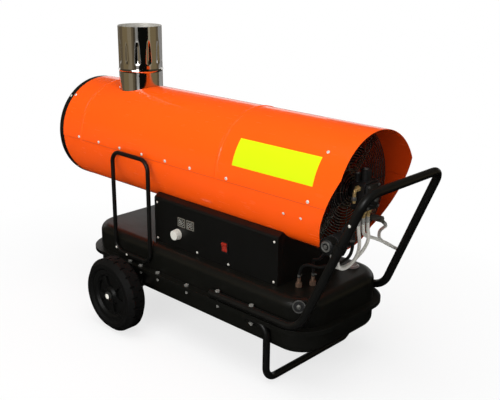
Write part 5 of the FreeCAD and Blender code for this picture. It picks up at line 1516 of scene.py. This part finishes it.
@dataclass
class PumpDress:
    """Cover, screws, pressure elbow and stud of the fuel pump.

    Each nut or screw is given as the radius over its corners, its height and its bevel.

    Attributes:
        cover_x: Rear face of the pump's body.
        middle_x: Middle of the body along the barrel.
        centre_z: Height of the cover's middle.
        top_z: Top of the body.
        cover: Depth, width and height of the cover.
        cover_bevel: Bevel of the cover.
        cover_sink: How deep the cover sits in the body.
        screw: One of the cover's screws.
        screw_shares: Places of the screws, as shares of the cover's width and height.
        screw_roll: Turn of the screws, in radians.
        screw_sink: How deep the screws sit in the cover.
        boss: Points of the cover's boss, as radius and height.
        boss_steps: Steps round the boss.
        boss_sink: How deep the boss sits in the cover.
        boss_drop: How far the boss lies under the cover's middle.
        boss_nut: Nut on the boss.
        boss_nut_lift: Height of that nut's foot over the cover.
        elbow: Route of the brass elbow on the near side.
        pipe: Radius of the elbow.
        pipe_sides: Sides of the elbow.
        inlet_nut: Nut where the elbow leaves the body.
        inlet_lap: How far that nut reaches back from the elbow's start.
        outlet_nut: Nut at the elbow's end.
        outlet_lap: How far that nut reaches back from the elbow's end.
        coil_nut: Nut on top of the valve's coil.
        coil_top: Height of that nut's foot over the body.
        stud: Points of the stud beside the coil, as radius and height.
        stud_steps: Steps round the stud.
        stud_place: Place of the stud from the body's middle, along the barrel and across.
        stud_sink: How deep the stud sits in the body.
        stud_nut: Nut on the stud.
        stud_nut_top: Height of that nut's foot over the body.
    """

    cover_x: float = 0.557
    middle_x: float = 0.536
    centre_z: float = 0.5805
    top_z: float = 0.622
    cover: Point = (0.008, 0.06, 0.074)
    cover_bevel: float = 0.0028
    cover_sink: float = 0.0005
    screw: Point = (0.0042, 0.0038, 0.0006)
    screw_shares: Pair = (0.39, 0.41)
    screw_roll: float = 0.4
    screw_sink: float = 0.0006
    boss: Tuple[Pair, ...] = ((0.021, 0.0), (0.021, 0.003), (0.0185, 0.0065), (0.012, 0.0072), (0.0, 0.0074))
    boss_steps: int = 40
    boss_sink: float = 0.001
    boss_drop: float = 0.006
    boss_nut: Point = (0.0075, 0.006, 0.0008)
    boss_nut_lift: float = 0.006
    elbow: Tuple[Point, ...] = ((0.536, -0.031, 0.604), (0.536, -0.045, 0.604), (0.536, -0.05, 0.596),
                                (0.536, -0.05, 0.566))
    pipe: float = 0.0048
    pipe_sides: int = 16
    inlet_nut: Point = (0.0092, 0.009, 0.001)
    inlet_lap: float = 0.0025
    outlet_nut: Point = (0.0078, 0.011, 0.001)
    outlet_lap: float = 0.018
    coil_nut: Point = (0.008, 0.0045, 0.0008)
    coil_top: float = 0.0295
    stud: Tuple[Pair, ...] = ((0.0, 0.0), (0.0075, 0.0), (0.0075, 0.019), (0.006, 0.021), (0.0, 0.021))
    stud_steps: int = 24
    stud_place: Pair = (-0.012, -0.022)
    stud_sink: float = 0.0005
    stud_nut: Point = (0.006, 0.005, 0.0006)
    stud_nut_top: float = 0.02

    def _add_cover(self, maker: PieceMaker) -> None:
        """Add the cover with its screws, its boss and the boss's nut.

        Args:
            maker: The pump's piece.
        """
        dark = PALETTE.slot("cast_dark")
        grey = PALETTE.of(RIM_GREY)
        back = Vector((1, 0, 0))
        depth, wide, high = self.cover
        rear = self.cover_x + depth
        middle = (self.cover_x + depth / 2 - self.cover_sink, 0, self.centre_z)
        maker.add(slab(self.cover, self.cover_bevel, 3), dark, Matrix.Translation(middle))
        across, up = self.screw_shares
        for y in (-1, 1):
            for z in (-1, 1):
                place = Vector((rear - self.screw_sink, y * wide * across, self.centre_z + z * high * up))
                maker.add(hexagon_nut(*self.screw), grey, facing(place, back, self.screw_roll))
        height = self.centre_z - self.boss_drop
        foot = Vector((rear - self.boss_sink, 0, height))
        maker.add(lathe(self.boss, self.boss_steps), dark, facing(foot, back))
        seat = Vector((rear + self.boss_nut_lift, 0, height))
        maker.add(hexagon_nut(*self.boss_nut), grey, facing(seat, back))

    def _add_elbow(self, maker: PieceMaker) -> None:
        """Add the elbow with its nuts.

        Args:
            maker: The pump's piece.
        """
        brass = PALETTE.slot("brass")
        near = Vector((0, -1, 0))
        down = Vector((0, 0, -1))
        maker.add(sweep(smooth_line(self.elbow), lambda _: self.pipe, self.pipe_sides), brass)
        inlet = Vector(self.elbow[0]) - near * self.inlet_lap
        maker.add(hexagon_nut(*self.inlet_nut), brass, facing(inlet, near))
        outlet = Vector(self.elbow[-1]) - down * self.outlet_lap
        maker.add(hexagon_nut(*self.outlet_nut), PALETTE.of(DULL_ZINC), facing(outlet, down))

    def _add_top(self, maker: PieceMaker) -> None:
        """Add the coil's nut, and the stud with its nut.

        Args:
            maker: The pump's piece.
        """
        zinc = PALETTE.of(DULL_ZINC)
        up = Vector((0, 0, 1))
        coil = Vector((self.middle_x, 0.0, self.top_z + self.coil_top))
        maker.add(hexagon_nut(*self.coil_nut), zinc, facing(coil, up))
        along, across = self.stud_place
        x = self.middle_x + along
        foot = Vector((x, across, self.top_z - self.stud_sink))
        maker.add(lathe(self.stud, self.stud_steps), PALETTE.slot("cast_dark"), facing(foot, up))
        seat = Vector((x, across, self.top_z + self.stud_nut_top))
        maker.add(hexagon_nut(*self.stud_nut), zinc, facing(seat, up))

    def build(self) -> bpy.types.Object:
        """Build the cover, the elbow and what stands on top.

        Returns:
            The pump's dressing.
        """
        maker = PieceMaker("pump_dress")
        self._add_cover(maker)
        self._add_elbow(maker)
        self._add_top(maker)
        return maker.finish(Body.HEATER, "cast_dark")


@dataclass
class FilterDress:
    """Dull zinc end ring and bung of the fuel filter.

    Attributes:
        end: Middle of the bowl's near end.
        ring: Outside radius of the ring.
        section: Points of the ring's section, as share of that radius and height.
        steps: Steps round the ring.
        bung: Radius of the bung's corners as a share of the ring's, its height and its bevel.
    """

    end: Point = (0.56033, -0.19869, 0.4857)
    ring: float = 0.0148
    section: Tuple[Pair, ...] = ((0.66, -0.0003), (0.66, 0.0018), (0.72, 0.0024), (0.94, 0.0024),
                                 (1.0, 0.0016), (1.0, -0.0003))
    steps: int = 48
    bung: Point = (0.42, 0.004, 0.0006)

    def build(self) -> bpy.types.Object:
        """Build the ring and the bung.

        Returns:
            The filter's end.
        """
        maker = PieceMaker("filter_end")
        zinc = PALETTE.of(DULL_ZINC)
        place = facing(Vector(self.end), Vector((0, -1, 0)))
        ring = [(self.ring * share, height) for share, height in self.section]
        maker.add(lathe(ring, self.steps, closed=True), zinc, place)
        share, height, bevel = self.bung
        maker.add(hexagon_nut(self.ring * share, height, bevel), zinc, place)
        return maker.finish(Body.HEATER, "zinc")


@dataclass
class PlugDress:
    """Rubbed rim and middle bolt of the plug on the tank's corner.

    Attributes:
        foot: Point of the tank under the plug's middle.
        way: Outward direction of the plug.
        proud: Height of the plug's face over the tank.
        rim: Points of the rim's section, as radius and height over the face.
        steps: Steps round the rim.
        bolt: Radius over the bolt's corners, its height and its bevel.
        bolt_sink: How deep the bolt sits in the face.
        bolt_roll: Turn of the bolt, in radians.
    """

    foot: Point = (0.45856, -0.17593, 0.272)
    way: Point = (0.54697, -0.8109, 0.20791)
    proud: float = 0.004
    rim: Tuple[Pair, ...] = ((0.0154, -0.0003), (0.0154, 0.0007), (0.016, 0.0012), (0.0179, 0.0012),
                             (0.0187, 0.0006), (0.0187, -0.0003))
    steps: int = 48
    bolt: Point = (0.0072, 0.0048, 0.0008)
    bolt_sink: float = 0.0003
    bolt_roll: float = 0.3

    def build(self) -> bpy.types.Object:
        """Build the rim's face and the bolt.

        Returns:
            The plug's dressing.
        """
        maker = PieceMaker("plug_face")
        way = Vector(self.way)
        face = Vector(self.foot) + way * self.proud
        maker.add(lathe(self.rim, self.steps, closed=True), PALETTE.of(RIM_GREY), facing(face, way))
        seat = face - way * self.bolt_sink
        maker.add(hexagon_nut(*self.bolt), PALETTE.of(DULL_ZINC), facing(seat, way, self.bolt_roll))
        return maker.finish(Body.HEATER, "plastic_black")


@dataclass
class BraidedHose:
    """Steel-braided hose with a crimped sleeve at each end.

    Attributes:
        node: CAD node that it stands for.
        route: Route points, as in the part's source.
        diameter: Outside diameter.
        resolution: Steps for each route point.
        sides: Sides of the hose.
        sleeve: Length of a crimped sleeve.
        sleeve_gap: How far a sleeve stands off the hose in its crimps.
        sleeve_sides: Sides of a sleeve.
        crimps: Number of crimps in a sleeve.
        crimp: Depth of a crimp.
    """

    node: str
    route: Tuple[Point, ...]
    diameter: float = 0.01
    resolution: int = 14
    sides: int = 20
    sleeve: float = 0.017
    sleeve_gap: float = 0.0005
    sleeve_sides: int = 24
    crimps: int = 2
    crimp: float = 0.0004

    def _sleeve_radius(self, run: float) -> float:
        """Radius of a sleeve at a length from its end."""
        wave = 0.5 + 0.5 * math.cos(run / self.sleeve * self.crimps * math.tau)
        return self.diameter / 2 + self.sleeve_gap + self.crimp * wave

    def _sleeve(self, line: Sequence[Vector], end: str) -> bpy.types.Object:
        """Crimped sleeve over the start of a line.

        Args:
            line: Line that starts at the sleeve's end.
            end: Word for its name.

        Returns:
            The sleeve.
        """
        stretch, run = [line[0]], 0.0
        for point in line[1:]:
            run += (point - stretch[-1]).length
            stretch.append(point)
            if run > self.sleeve:
                break
        maker = PieceMaker(f"{self.node}_{end}_sleeve")
        maker.add(sweep(stretch, self._sleeve_radius, self.sleeve_sides), PALETTE.slot("zinc"))
        return maker.finish(Body.HEATER, "zinc")

    def build(self) -> bpy.types.Object:
        """Build the hose and its sleeves.

        Returns:
            The hose.
        """
        line = smooth_line(self.route, self.resolution)
        maker = PieceMaker(f"{self.node}_woven")
        maker.add(sweep(line, lambda _: self.diameter / 2, self.sides), PALETTE.slot("braid"))
        hose = maker.finish(Body.HEATER, "braid", sharp=60.0, replaced=[self.node])
        sleeves = [self._sleeve(line, "start"), self._sleeve(line[::-1], "finish")]
        return hose


@dataclass
class RubberHose:
    """Black rubber hose with a clip at each end.

    Attributes:
        node: CAD node that it stands for.
        route: Route points, as in the part's source.
        diameter: Outside diameter.
        clip: Width of a clip.
        clip_wall: How far a clip reaches inside and outside the hose's skin.
        clip_place: Distance of a clip from the hose's end.
        clip_steps: Steps round a clip.
        ear: Length, width and height of a clip's ear, the last as a share of the clip's width.
        ear_bevel: Bevel of the ear.
        ear_place: Distance of the ear's middle from the hose's skin.
    """

    node: str
    route: Tuple[Point, ...]
    diameter: float = 0.009
    clip: float = 0.006
    clip_wall: Pair = (0.0003, 0.0009)
    clip_place: float = 0.004
    clip_steps: int = 28
    ear: Point = (0.006, 0.003, 0.9)
    ear_bevel: float = 0.0006
    ear_place: float = 0.003

    def _clip(self, line: Sequence[Vector], end: str) -> bpy.types.Object:
        """Clip round the hose near the start of a line.

        Args:
            line: Line that starts at the hose's end.
            end: Word for its name.

        Returns:
            The clip.
        """
        way = (line[2] - line[0]).normalized()
        place = facing(line[0] + way * self.clip_place, way)
        skin = self.diameter / 2
        inner, outer = skin - self.clip_wall[0], skin + self.clip_wall[1]
        band = [(inner, 0.0), (outer, 0.0), (outer, self.clip), (inner, self.clip)]
        zinc = PALETTE.of(DULL_ZINC)
        maker = PieceMaker(f"{self.node}_{end}_clip")
        maker.add(lathe(band, self.clip_steps, closed=True), zinc, place)
        length, width, share = self.ear
        ear = slab((length, width, self.clip * share), self.ear_bevel, 2)
        maker.add(ear, zinc, place @ Matrix.Translation((skin + self.ear_place, 0, self.clip / 2)))
        return maker.finish(Body.HEATER, "zinc")

    def build(self) -> bpy.types.Object:
        """Build the hose and its clips.

        Returns:
            The hose.
        """
        line = smooth_line(self.route)
        curve = route_curve(f"{self.node}_rubber", self.route, self.diameter / 2)
        curve.materials.append(PALETTE.slot("hose_black"))
        hose = bpy.data.objects.new(f"{self.node}_rubber", curve)
        bpy.context.collection.objects.link(hose)
        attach(hose, Body.HEATER.value)
        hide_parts(self.node)
        clips = [self._clip(line, "start"), self._clip(line[::-1], "finish")]
        LOG.info("%s: a hose of %.0f mm", hose.name, 1000 * line_length(line))
        return hose


NOZZLE_ROUTE: Tuple[Point, ...] = (
    (0.536, 0.0, 0.511), (0.536, 0.0, 0.482), (0.53, 0.016, 0.452), (0.529, 0.062, 0.434),
    (0.522, 0.112, 0.41), (0.516, 0.158, 0.387), (0.519, 0.19969, 0.36073), (0.518, 0.24169, 0.33873),
    (0.496, 0.25969, 0.33123), (0.467, 0.26119, 0.33473), (0.4465, 0.24419, 0.34873),
    (0.4435, 0.22369, 0.36673), (0.453, 0.21069, 0.39573), (0.48, 0.19069, 0.41873),
    (0.506, 0.16825, 0.43848), (0.506, 0.14669, 0.45473))
SUPPLY_ROUTE: Tuple[Point, ...] = (
    (0.536, -0.0218, 0.511), (0.536, -0.0218, 0.48), (0.545, -0.0238, 0.449), (0.555, -0.0418, 0.424),
    (0.5653, -0.07619, 0.4117), (0.5678, -0.10819, 0.4037), (0.5691, -0.13889, 0.4069),
    (0.5693, -0.15869, 0.4267), (0.5693, -0.15869, 0.4547))
RETURN_ROUTE: Tuple[Point, ...] = (
    (0.536, 0.0218, 0.511), (0.536, 0.0218, 0.48), (0.55, 0.0138, 0.449), (0.553, -0.0122, 0.425),
    (0.552, -0.0442, 0.409), (0.5563, -0.07419, 0.4017), (0.5533, -0.10719, 0.3977),
    (0.5513, -0.13889, 0.4069), (0.5513, -0.15869, 0.4267), (0.5513, -0.15869, 0.4547))
FEED_ROUTE: Tuple[Point, ...] = (
    (0.417, -0.066, 0.318), (0.417, -0.066, 0.346), (0.429, -0.084, 0.376), (0.455, -0.112, 0.394),
    (0.49043, -0.13269, 0.41083), (0.51363, -0.14069, 0.43903), (0.53343, -0.14069, 0.45883))
DRAIN_ROUTE: Tuple[Point, ...] = (
    (0.5955, -0.12769, 0.5007), (0.5955, -0.12769, 0.4747), (0.5877, -0.12619, 0.4487),
    (0.5685, -0.12269, 0.4267), (0.5385, -0.11769, 0.4057), (0.4985, -0.11219, 0.3867),
    (0.471, -0.11, 0.374), (0.439, -0.107, 0.372), (0.415, -0.105, 0.364), (0.396, -0.104, 0.343),
    (0.396, -0.104, 0.318))


@dataclass(frozen=True)
class SoftLamp:
    """A soft rectangular lamp.

    Attributes:
        name: Its name.
        place: Where it hangs.
        target: Point that it faces.
        size: Width and height.
        power: Power in watts.
        mirrored: Whether gloss mirrors it.
    """

    name: str
    place: Point
    target: Point
    size: Pair
    power: float
    mirrored: bool = False

    def hang(self) -> None:
        """Put the lamp in the scene."""
        data = bpy.data.lights.new(self.name, "AREA")
        data.shape = "RECTANGLE"
        data.size, data.size_y = self.size
        data.energy = self.power
        holder = bpy.data.objects.new(self.name, data)
        bpy.context.collection.objects.link(holder)
        way = Vector(self.target) - Vector(self.place)
        turn = way.to_track_quat("-Z", "Y").to_matrix().to_4x4()
        holder.matrix_world = Matrix.Translation(self.place) @ turn
        holder.visible_glossy = self.mirrored


@dataclass(frozen=True)
class TentWall:
    """A stretch of the reflection tent's wall.

    Attributes:
        first: Turn where it starts, in degrees from X.
        last: Turn where it ends.
        low: Height of its foot.
        high: Height of its head.
        cloth: Its cloth.
    """

    first: float
    last: float
    low: float
    high: float
    cloth: TentCloth


@dataclass
class Studio:
    """Floor, light, reflection tent and camera.

    Attributes:
        eye: Place of the camera.
        yaw: Heading of the view, in degrees.
        pitch: Downward tilt, in degrees.
        roll: Roll of the camera, in degrees.
        focal: Focal length in pixels of the 500 pixel wide image.
        width: Width of the image in pixels.
        sensor: Width of the camera's sensor in millimetres.
        sight: Distance that the camera sees.
        floor_size: Size of the floor.
        floor_glow: Share of plain white in the floor under the heater.
        floor_stretch: Scale of the distance over which the floor fades to white.
        floor_fade: Scaled distances where that fade starts and ends.
        ambient: Level of the even light all round.
        lamps: The soft lamps.
        tent_radius: Radius of the tent.
        tent_height: Height of its roof.
        tent_ground: Height of its ground cloth.
        tent_steps: Steps round a wall.
        tent_walls: The stretches of its wall, with white gaps between them.
    """

    eye: Point = (1.72055, -1.71856, 1.23106)
    yaw: float = 46.67
    pitch: float = 18.02
    roll: float = 0.59
    focal: float = 781.3
    width: float = 500.0
    sensor: float = 36.0
    sight: float = 60.0
    floor_size: float = 30.0
    floor_glow: float = 0.72
    floor_stretch: Point = (0.8, 1.0, 1.0)
    floor_fade: Pair = (0.25, 1.25)
    ambient: float = 0.34
    lamps: Tuple[SoftLamp, ...] = (
        SoftLamp("overhead_soft", (0.3, -0.6, 3.2), (0.0, 0.0, 0.5), (3.0, 2.2), 70.0),
        SoftLamp("front_soft", (0.8, -3.4, 1.9), (0.1, 0.0, 0.5), (2.6, 1.6), 71.0, mirrored=True),
        SoftLamp("fan_end_soft", (3.2, -0.4, 1.6), (0.4, 0.0, 0.5), (1.6, 1.6), 4.0),
        SoftLamp("far_soft", (-0.8, 3.0, 2.0), (0.0, 0.0, 0.6), (2.4, 1.4), 12.0))
    tent_radius: float = 3.4
    tent_height: float = 7.0
    tent_ground: float = 0.0004
    tent_steps: int = 24
    tent_walls: Tuple[TentWall, ...] = (
        TentWall(-176.0, -146.0, 0.0, 1.2, TentCloth.BROWN),
        TentWall(-146.0, -114.0, 0.0, 1.2, TentCloth.FAWN),
        TentWall(-114.0, -91.0, 0.0, 1.2, TentCloth.PALE),
        TentWall(-91.0, -81.0, 0.0, 1.2, TentCloth.BROWN),
        TentWall(-81.0, -69.0, 0.0, 1.2, TentCloth.UMBER),
        TentWall(-55.0, 5.0, 0.0, 7.0, TentCloth.BLACK),
        TentWall(5.0, 17.0, 0.0, 1.2, TentCloth.CREAM),
        TentWall(17.0, 58.0, 0.0, 1.2, TentCloth.FAWN),
        TentWall(58.0, 77.0, 0.0, 1.2, TentCloth.BROWN),
        TentWall(122.0, 180.0, 0.0, 0.7, TentCloth.BROWN),
        TentWall(122.0, 180.0, 1.4, 2.0, TentCloth.BROWN),
        TentWall(-176.0, -69.0, 1.2, 7.0, TentCloth.UMBER),
        TentWall(5.0, 122.0, 1.2, 7.0, TentCloth.UMBER),
        TentWall(122.0, 184.0, 2.0, 7.0, TentCloth.UMBER))

    def camera(self) -> None:
        """Place the camera at the photograph's view."""
        yaw, pitch, roll = (math.radians(angle) for angle in (self.yaw, self.pitch, self.roll))
        ahead = Vector((-math.cos(yaw) * math.cos(pitch), math.sin(yaw) * math.cos(pitch), -math.sin(pitch)))
        level = ahead.cross(Vector((0, 0, 1))).normalized()
        upward = level.cross(ahead)
        right = level * math.cos(roll) + upward * math.sin(roll)
        top = upward * math.cos(roll) - level * math.sin(roll)
        data = bpy.data.cameras.new("photo_camera")
        data.sensor_width = self.sensor
        data.lens = self.focal / self.width * self.sensor
        data.clip_end = self.sight
        holder = bpy.data.objects.new("photo_camera", data)
        bpy.context.collection.objects.link(holder)
        turn = Matrix((right, top, -ahead)).transposed().to_4x4()
        holder.matrix_world = Matrix.Translation(self.eye) @ turn
        bpy.context.scene.camera = holder

    def world(self) -> None:
        """Even light all round, on a white background."""
        world = bpy.data.worlds.new("studio_world")
        world.use_nodes = True
        bpy.context.scene.world = world
        desk = NodeDesk(world.node_tree)
        world.node_tree.nodes.clear()
        rays = desk.add("ShaderNodeLightPath")
        seen = desk.maths("MAXIMUM", rays.outputs["Is Camera Ray"], rays.outputs["Is Glossy Ray"])
        seen = desk.maths("MAXIMUM", seen, rays.outputs["Is Transmission Ray"])
        level = desk.add("ShaderNodeBackground")
        level.inputs["Strength"].default_value = self.ambient
        white = desk.add("ShaderNodeBackground")
        white.inputs["Color"].default_value = rgba((1.0, 1.0, 1.0))
        blend = desk.add("ShaderNodeMixShader")
        desk.feed(blend.inputs[0], seen)
        desk.feed(blend.inputs[1], level.outputs[0])
        desk.feed(blend.inputs[2], white.outputs[0])
        desk.feed(desk.add("ShaderNodeOutputWorld").inputs["Surface"], blend.outputs[0])

    def floor(self) -> None:
        """Pale plain floor that fades to the white background away from the heater."""
        bm = bmesh.new()
        bmesh.ops.create_grid(bm, x_segments=4, y_segments=4, size=self.floor_size / 2)
        data = bpy.data.meshes.new("studio_floor")
        bm.to_mesh(data)
        bm.free()
        floor = bpy.data.objects.new("studio_floor", data)
        bpy.context.collection.objects.link(floor)
        material = FLOOR_PALE.build()
        desk = NodeDesk(material.node_tree)
        reach = desk.add("ShaderNodeVectorMath", operation="LENGTH")
        desk.feed(reach.inputs[0], desk.place(self.floor_stretch))
        fade = desk.ramp(reach.outputs["Value"], *self.floor_fade, to_low=self.floor_glow)
        rays = desk.add("ShaderNodeLightPath")
        glow = desk.add("ShaderNodeEmission")
        blend = desk.add("ShaderNodeMixShader")
        desk.feed(blend.inputs[0], desk.maths("MULTIPLY", fade, rays.outputs["Is Camera Ray"]))
        desk.feed(blend.inputs[1], material.node_tree.nodes["Principled BSDF"].outputs[0])
        desk.feed(blend.inputs[2], glow.outputs[0])
        desk.feed(material.node_tree.nodes["Material Output"].inputs["Surface"], blend.outputs[0])
        data.materials.append(material)

    @staticmethod
    def _card(name: str, bm: bmesh.types.BMesh, material: bpy.types.Material) -> None:
        """Put up a card that only gloss mirrors.

        Args:
            name: Its name.
            bm: Its mesh, which is used up.
            material: Its cloth.
        """
        data = bpy.data.meshes.new(name)
        bm.to_mesh(data)
        bm.free()
        data.materials.append(material)
        card = bpy.data.objects.new(name, data)
        bpy.context.collection.objects.link(card)
        card.visible_camera = False
        card.visible_diffuse = False
        card.visible_shadow = False
        card.visible_transmission = False

    @staticmethod
    def _cloth(name: str, colour: Colour) -> bpy.types.Material:
        """Evenly lit cloth of one colour.

        Args:
            name: The material's name.
            colour: Its glow.

        Returns:
            The material.
        """
        material = bpy.data.materials.new(name)
        material.use_nodes = True
        desk = NodeDesk(material.node_tree)
        glow = desk.add("ShaderNodeEmission")
        desk.feed(glow.inputs["Color"], rgba(colour))
        desk.feed(material.node_tree.nodes["Material Output"].inputs["Surface"], glow.outputs[0])
        return material

    def tent(self) -> None:
        """Dim tent round the heater with white gaps, which gloss mirrors."""
        cloths = {cloth: self._cloth(f"tent_{cloth.name.lower()}", cloth.value) for cloth in TentCloth}
        for number, wall in enumerate(self.tent_walls):
            bm = bmesh.new()
            turn = math.radians(wall.first)
            foot = Vector((math.cos(turn), math.sin(turn), 0.0)) * self.tent_radius
            verts = [bm.verts.new(foot + Vector((0, 0, height))) for height in (wall.low, wall.high)]
            edge = bm.edges.new(verts)
            bmesh.ops.spin(bm, geom=verts + [edge], cent=(0, 0, 0), axis=(0, 0, 1), dvec=(0, 0, 0),
                           angle=math.radians(wall.last - wall.first), steps=self.tent_steps, use_merge=False,
                           use_normal_flip=False, use_duplicate=False)
            self._card(f"tent_wall_{number}", bm, cloths[wall.cloth])
        for name, height in (("tent_ground", self.tent_ground), ("tent_roof", self.tent_height)):
            bm = bmesh.new()
            bmesh.ops.create_circle(bm, cap_ends=True, segments=64, radius=self.tent_radius,
                                    matrix=Matrix.Translation((0, 0, height)))
            self._card(name, bm, cloths[TentCloth.BLACK])

    def build(self) -> None:
        """Set up the whole studio."""
        bpy.context.scene.view_settings.view_transform = "Standard"
        self.camera()
        for lamp in self.lamps:
            lamp.hang()
        self.world()
        self.floor()
        self.tent()


def dress_nodes() -> None:
    """Give every CAD node its own material or that of its slot."""
    for row in frame["record"]["subparts"]:
        node = frame["nodes"][row["node"]]
        own = NODE_FINISHES.get(row["node"])
        material = PALETTE.of(own) if own else PALETTE.slot(row["material_slot"])
        if not node.material_slots:
            node.data.materials.append(material)
        for slot in node.material_slots:
            slot.material = material
        LOG.info("%s: %s", row["node"], material.name)


def main() -> None:
    """Build the heater's looks in order."""
    logging.basicConfig(level=logging.INFO, format="%(message)s")
    Studio().build()
    dress_nodes()
    for node, route in (("braided_hose_nozzle", NOZZLE_ROUTE), ("braided_hose_supply", SUPPLY_ROUTE),
                        ("braided_hose_return", RETURN_ROUTE)):
        BraidedHose(node, route).build()
    for node, route in (("fuel_hose_feed", FEED_ROUTE), ("fuel_hose_return", DRAIN_ROUTE)):
        RubberHose(node, route).build()
    barrel = Barrel()
    barrel.yellow_patch()
    barrel.seam_painted_shadows()
    FluePipe().build()
    FanGuard(barrel).build()
    screws = SheetScrews(barrel)
    screws.build()
    screws.build_small()
    PanelDisplays().build()
    FuelGauge().build()
    PumpDress().build()
    FilterDress().build()
    PlugDress().build()


if __name__ == "__main__":
    main()
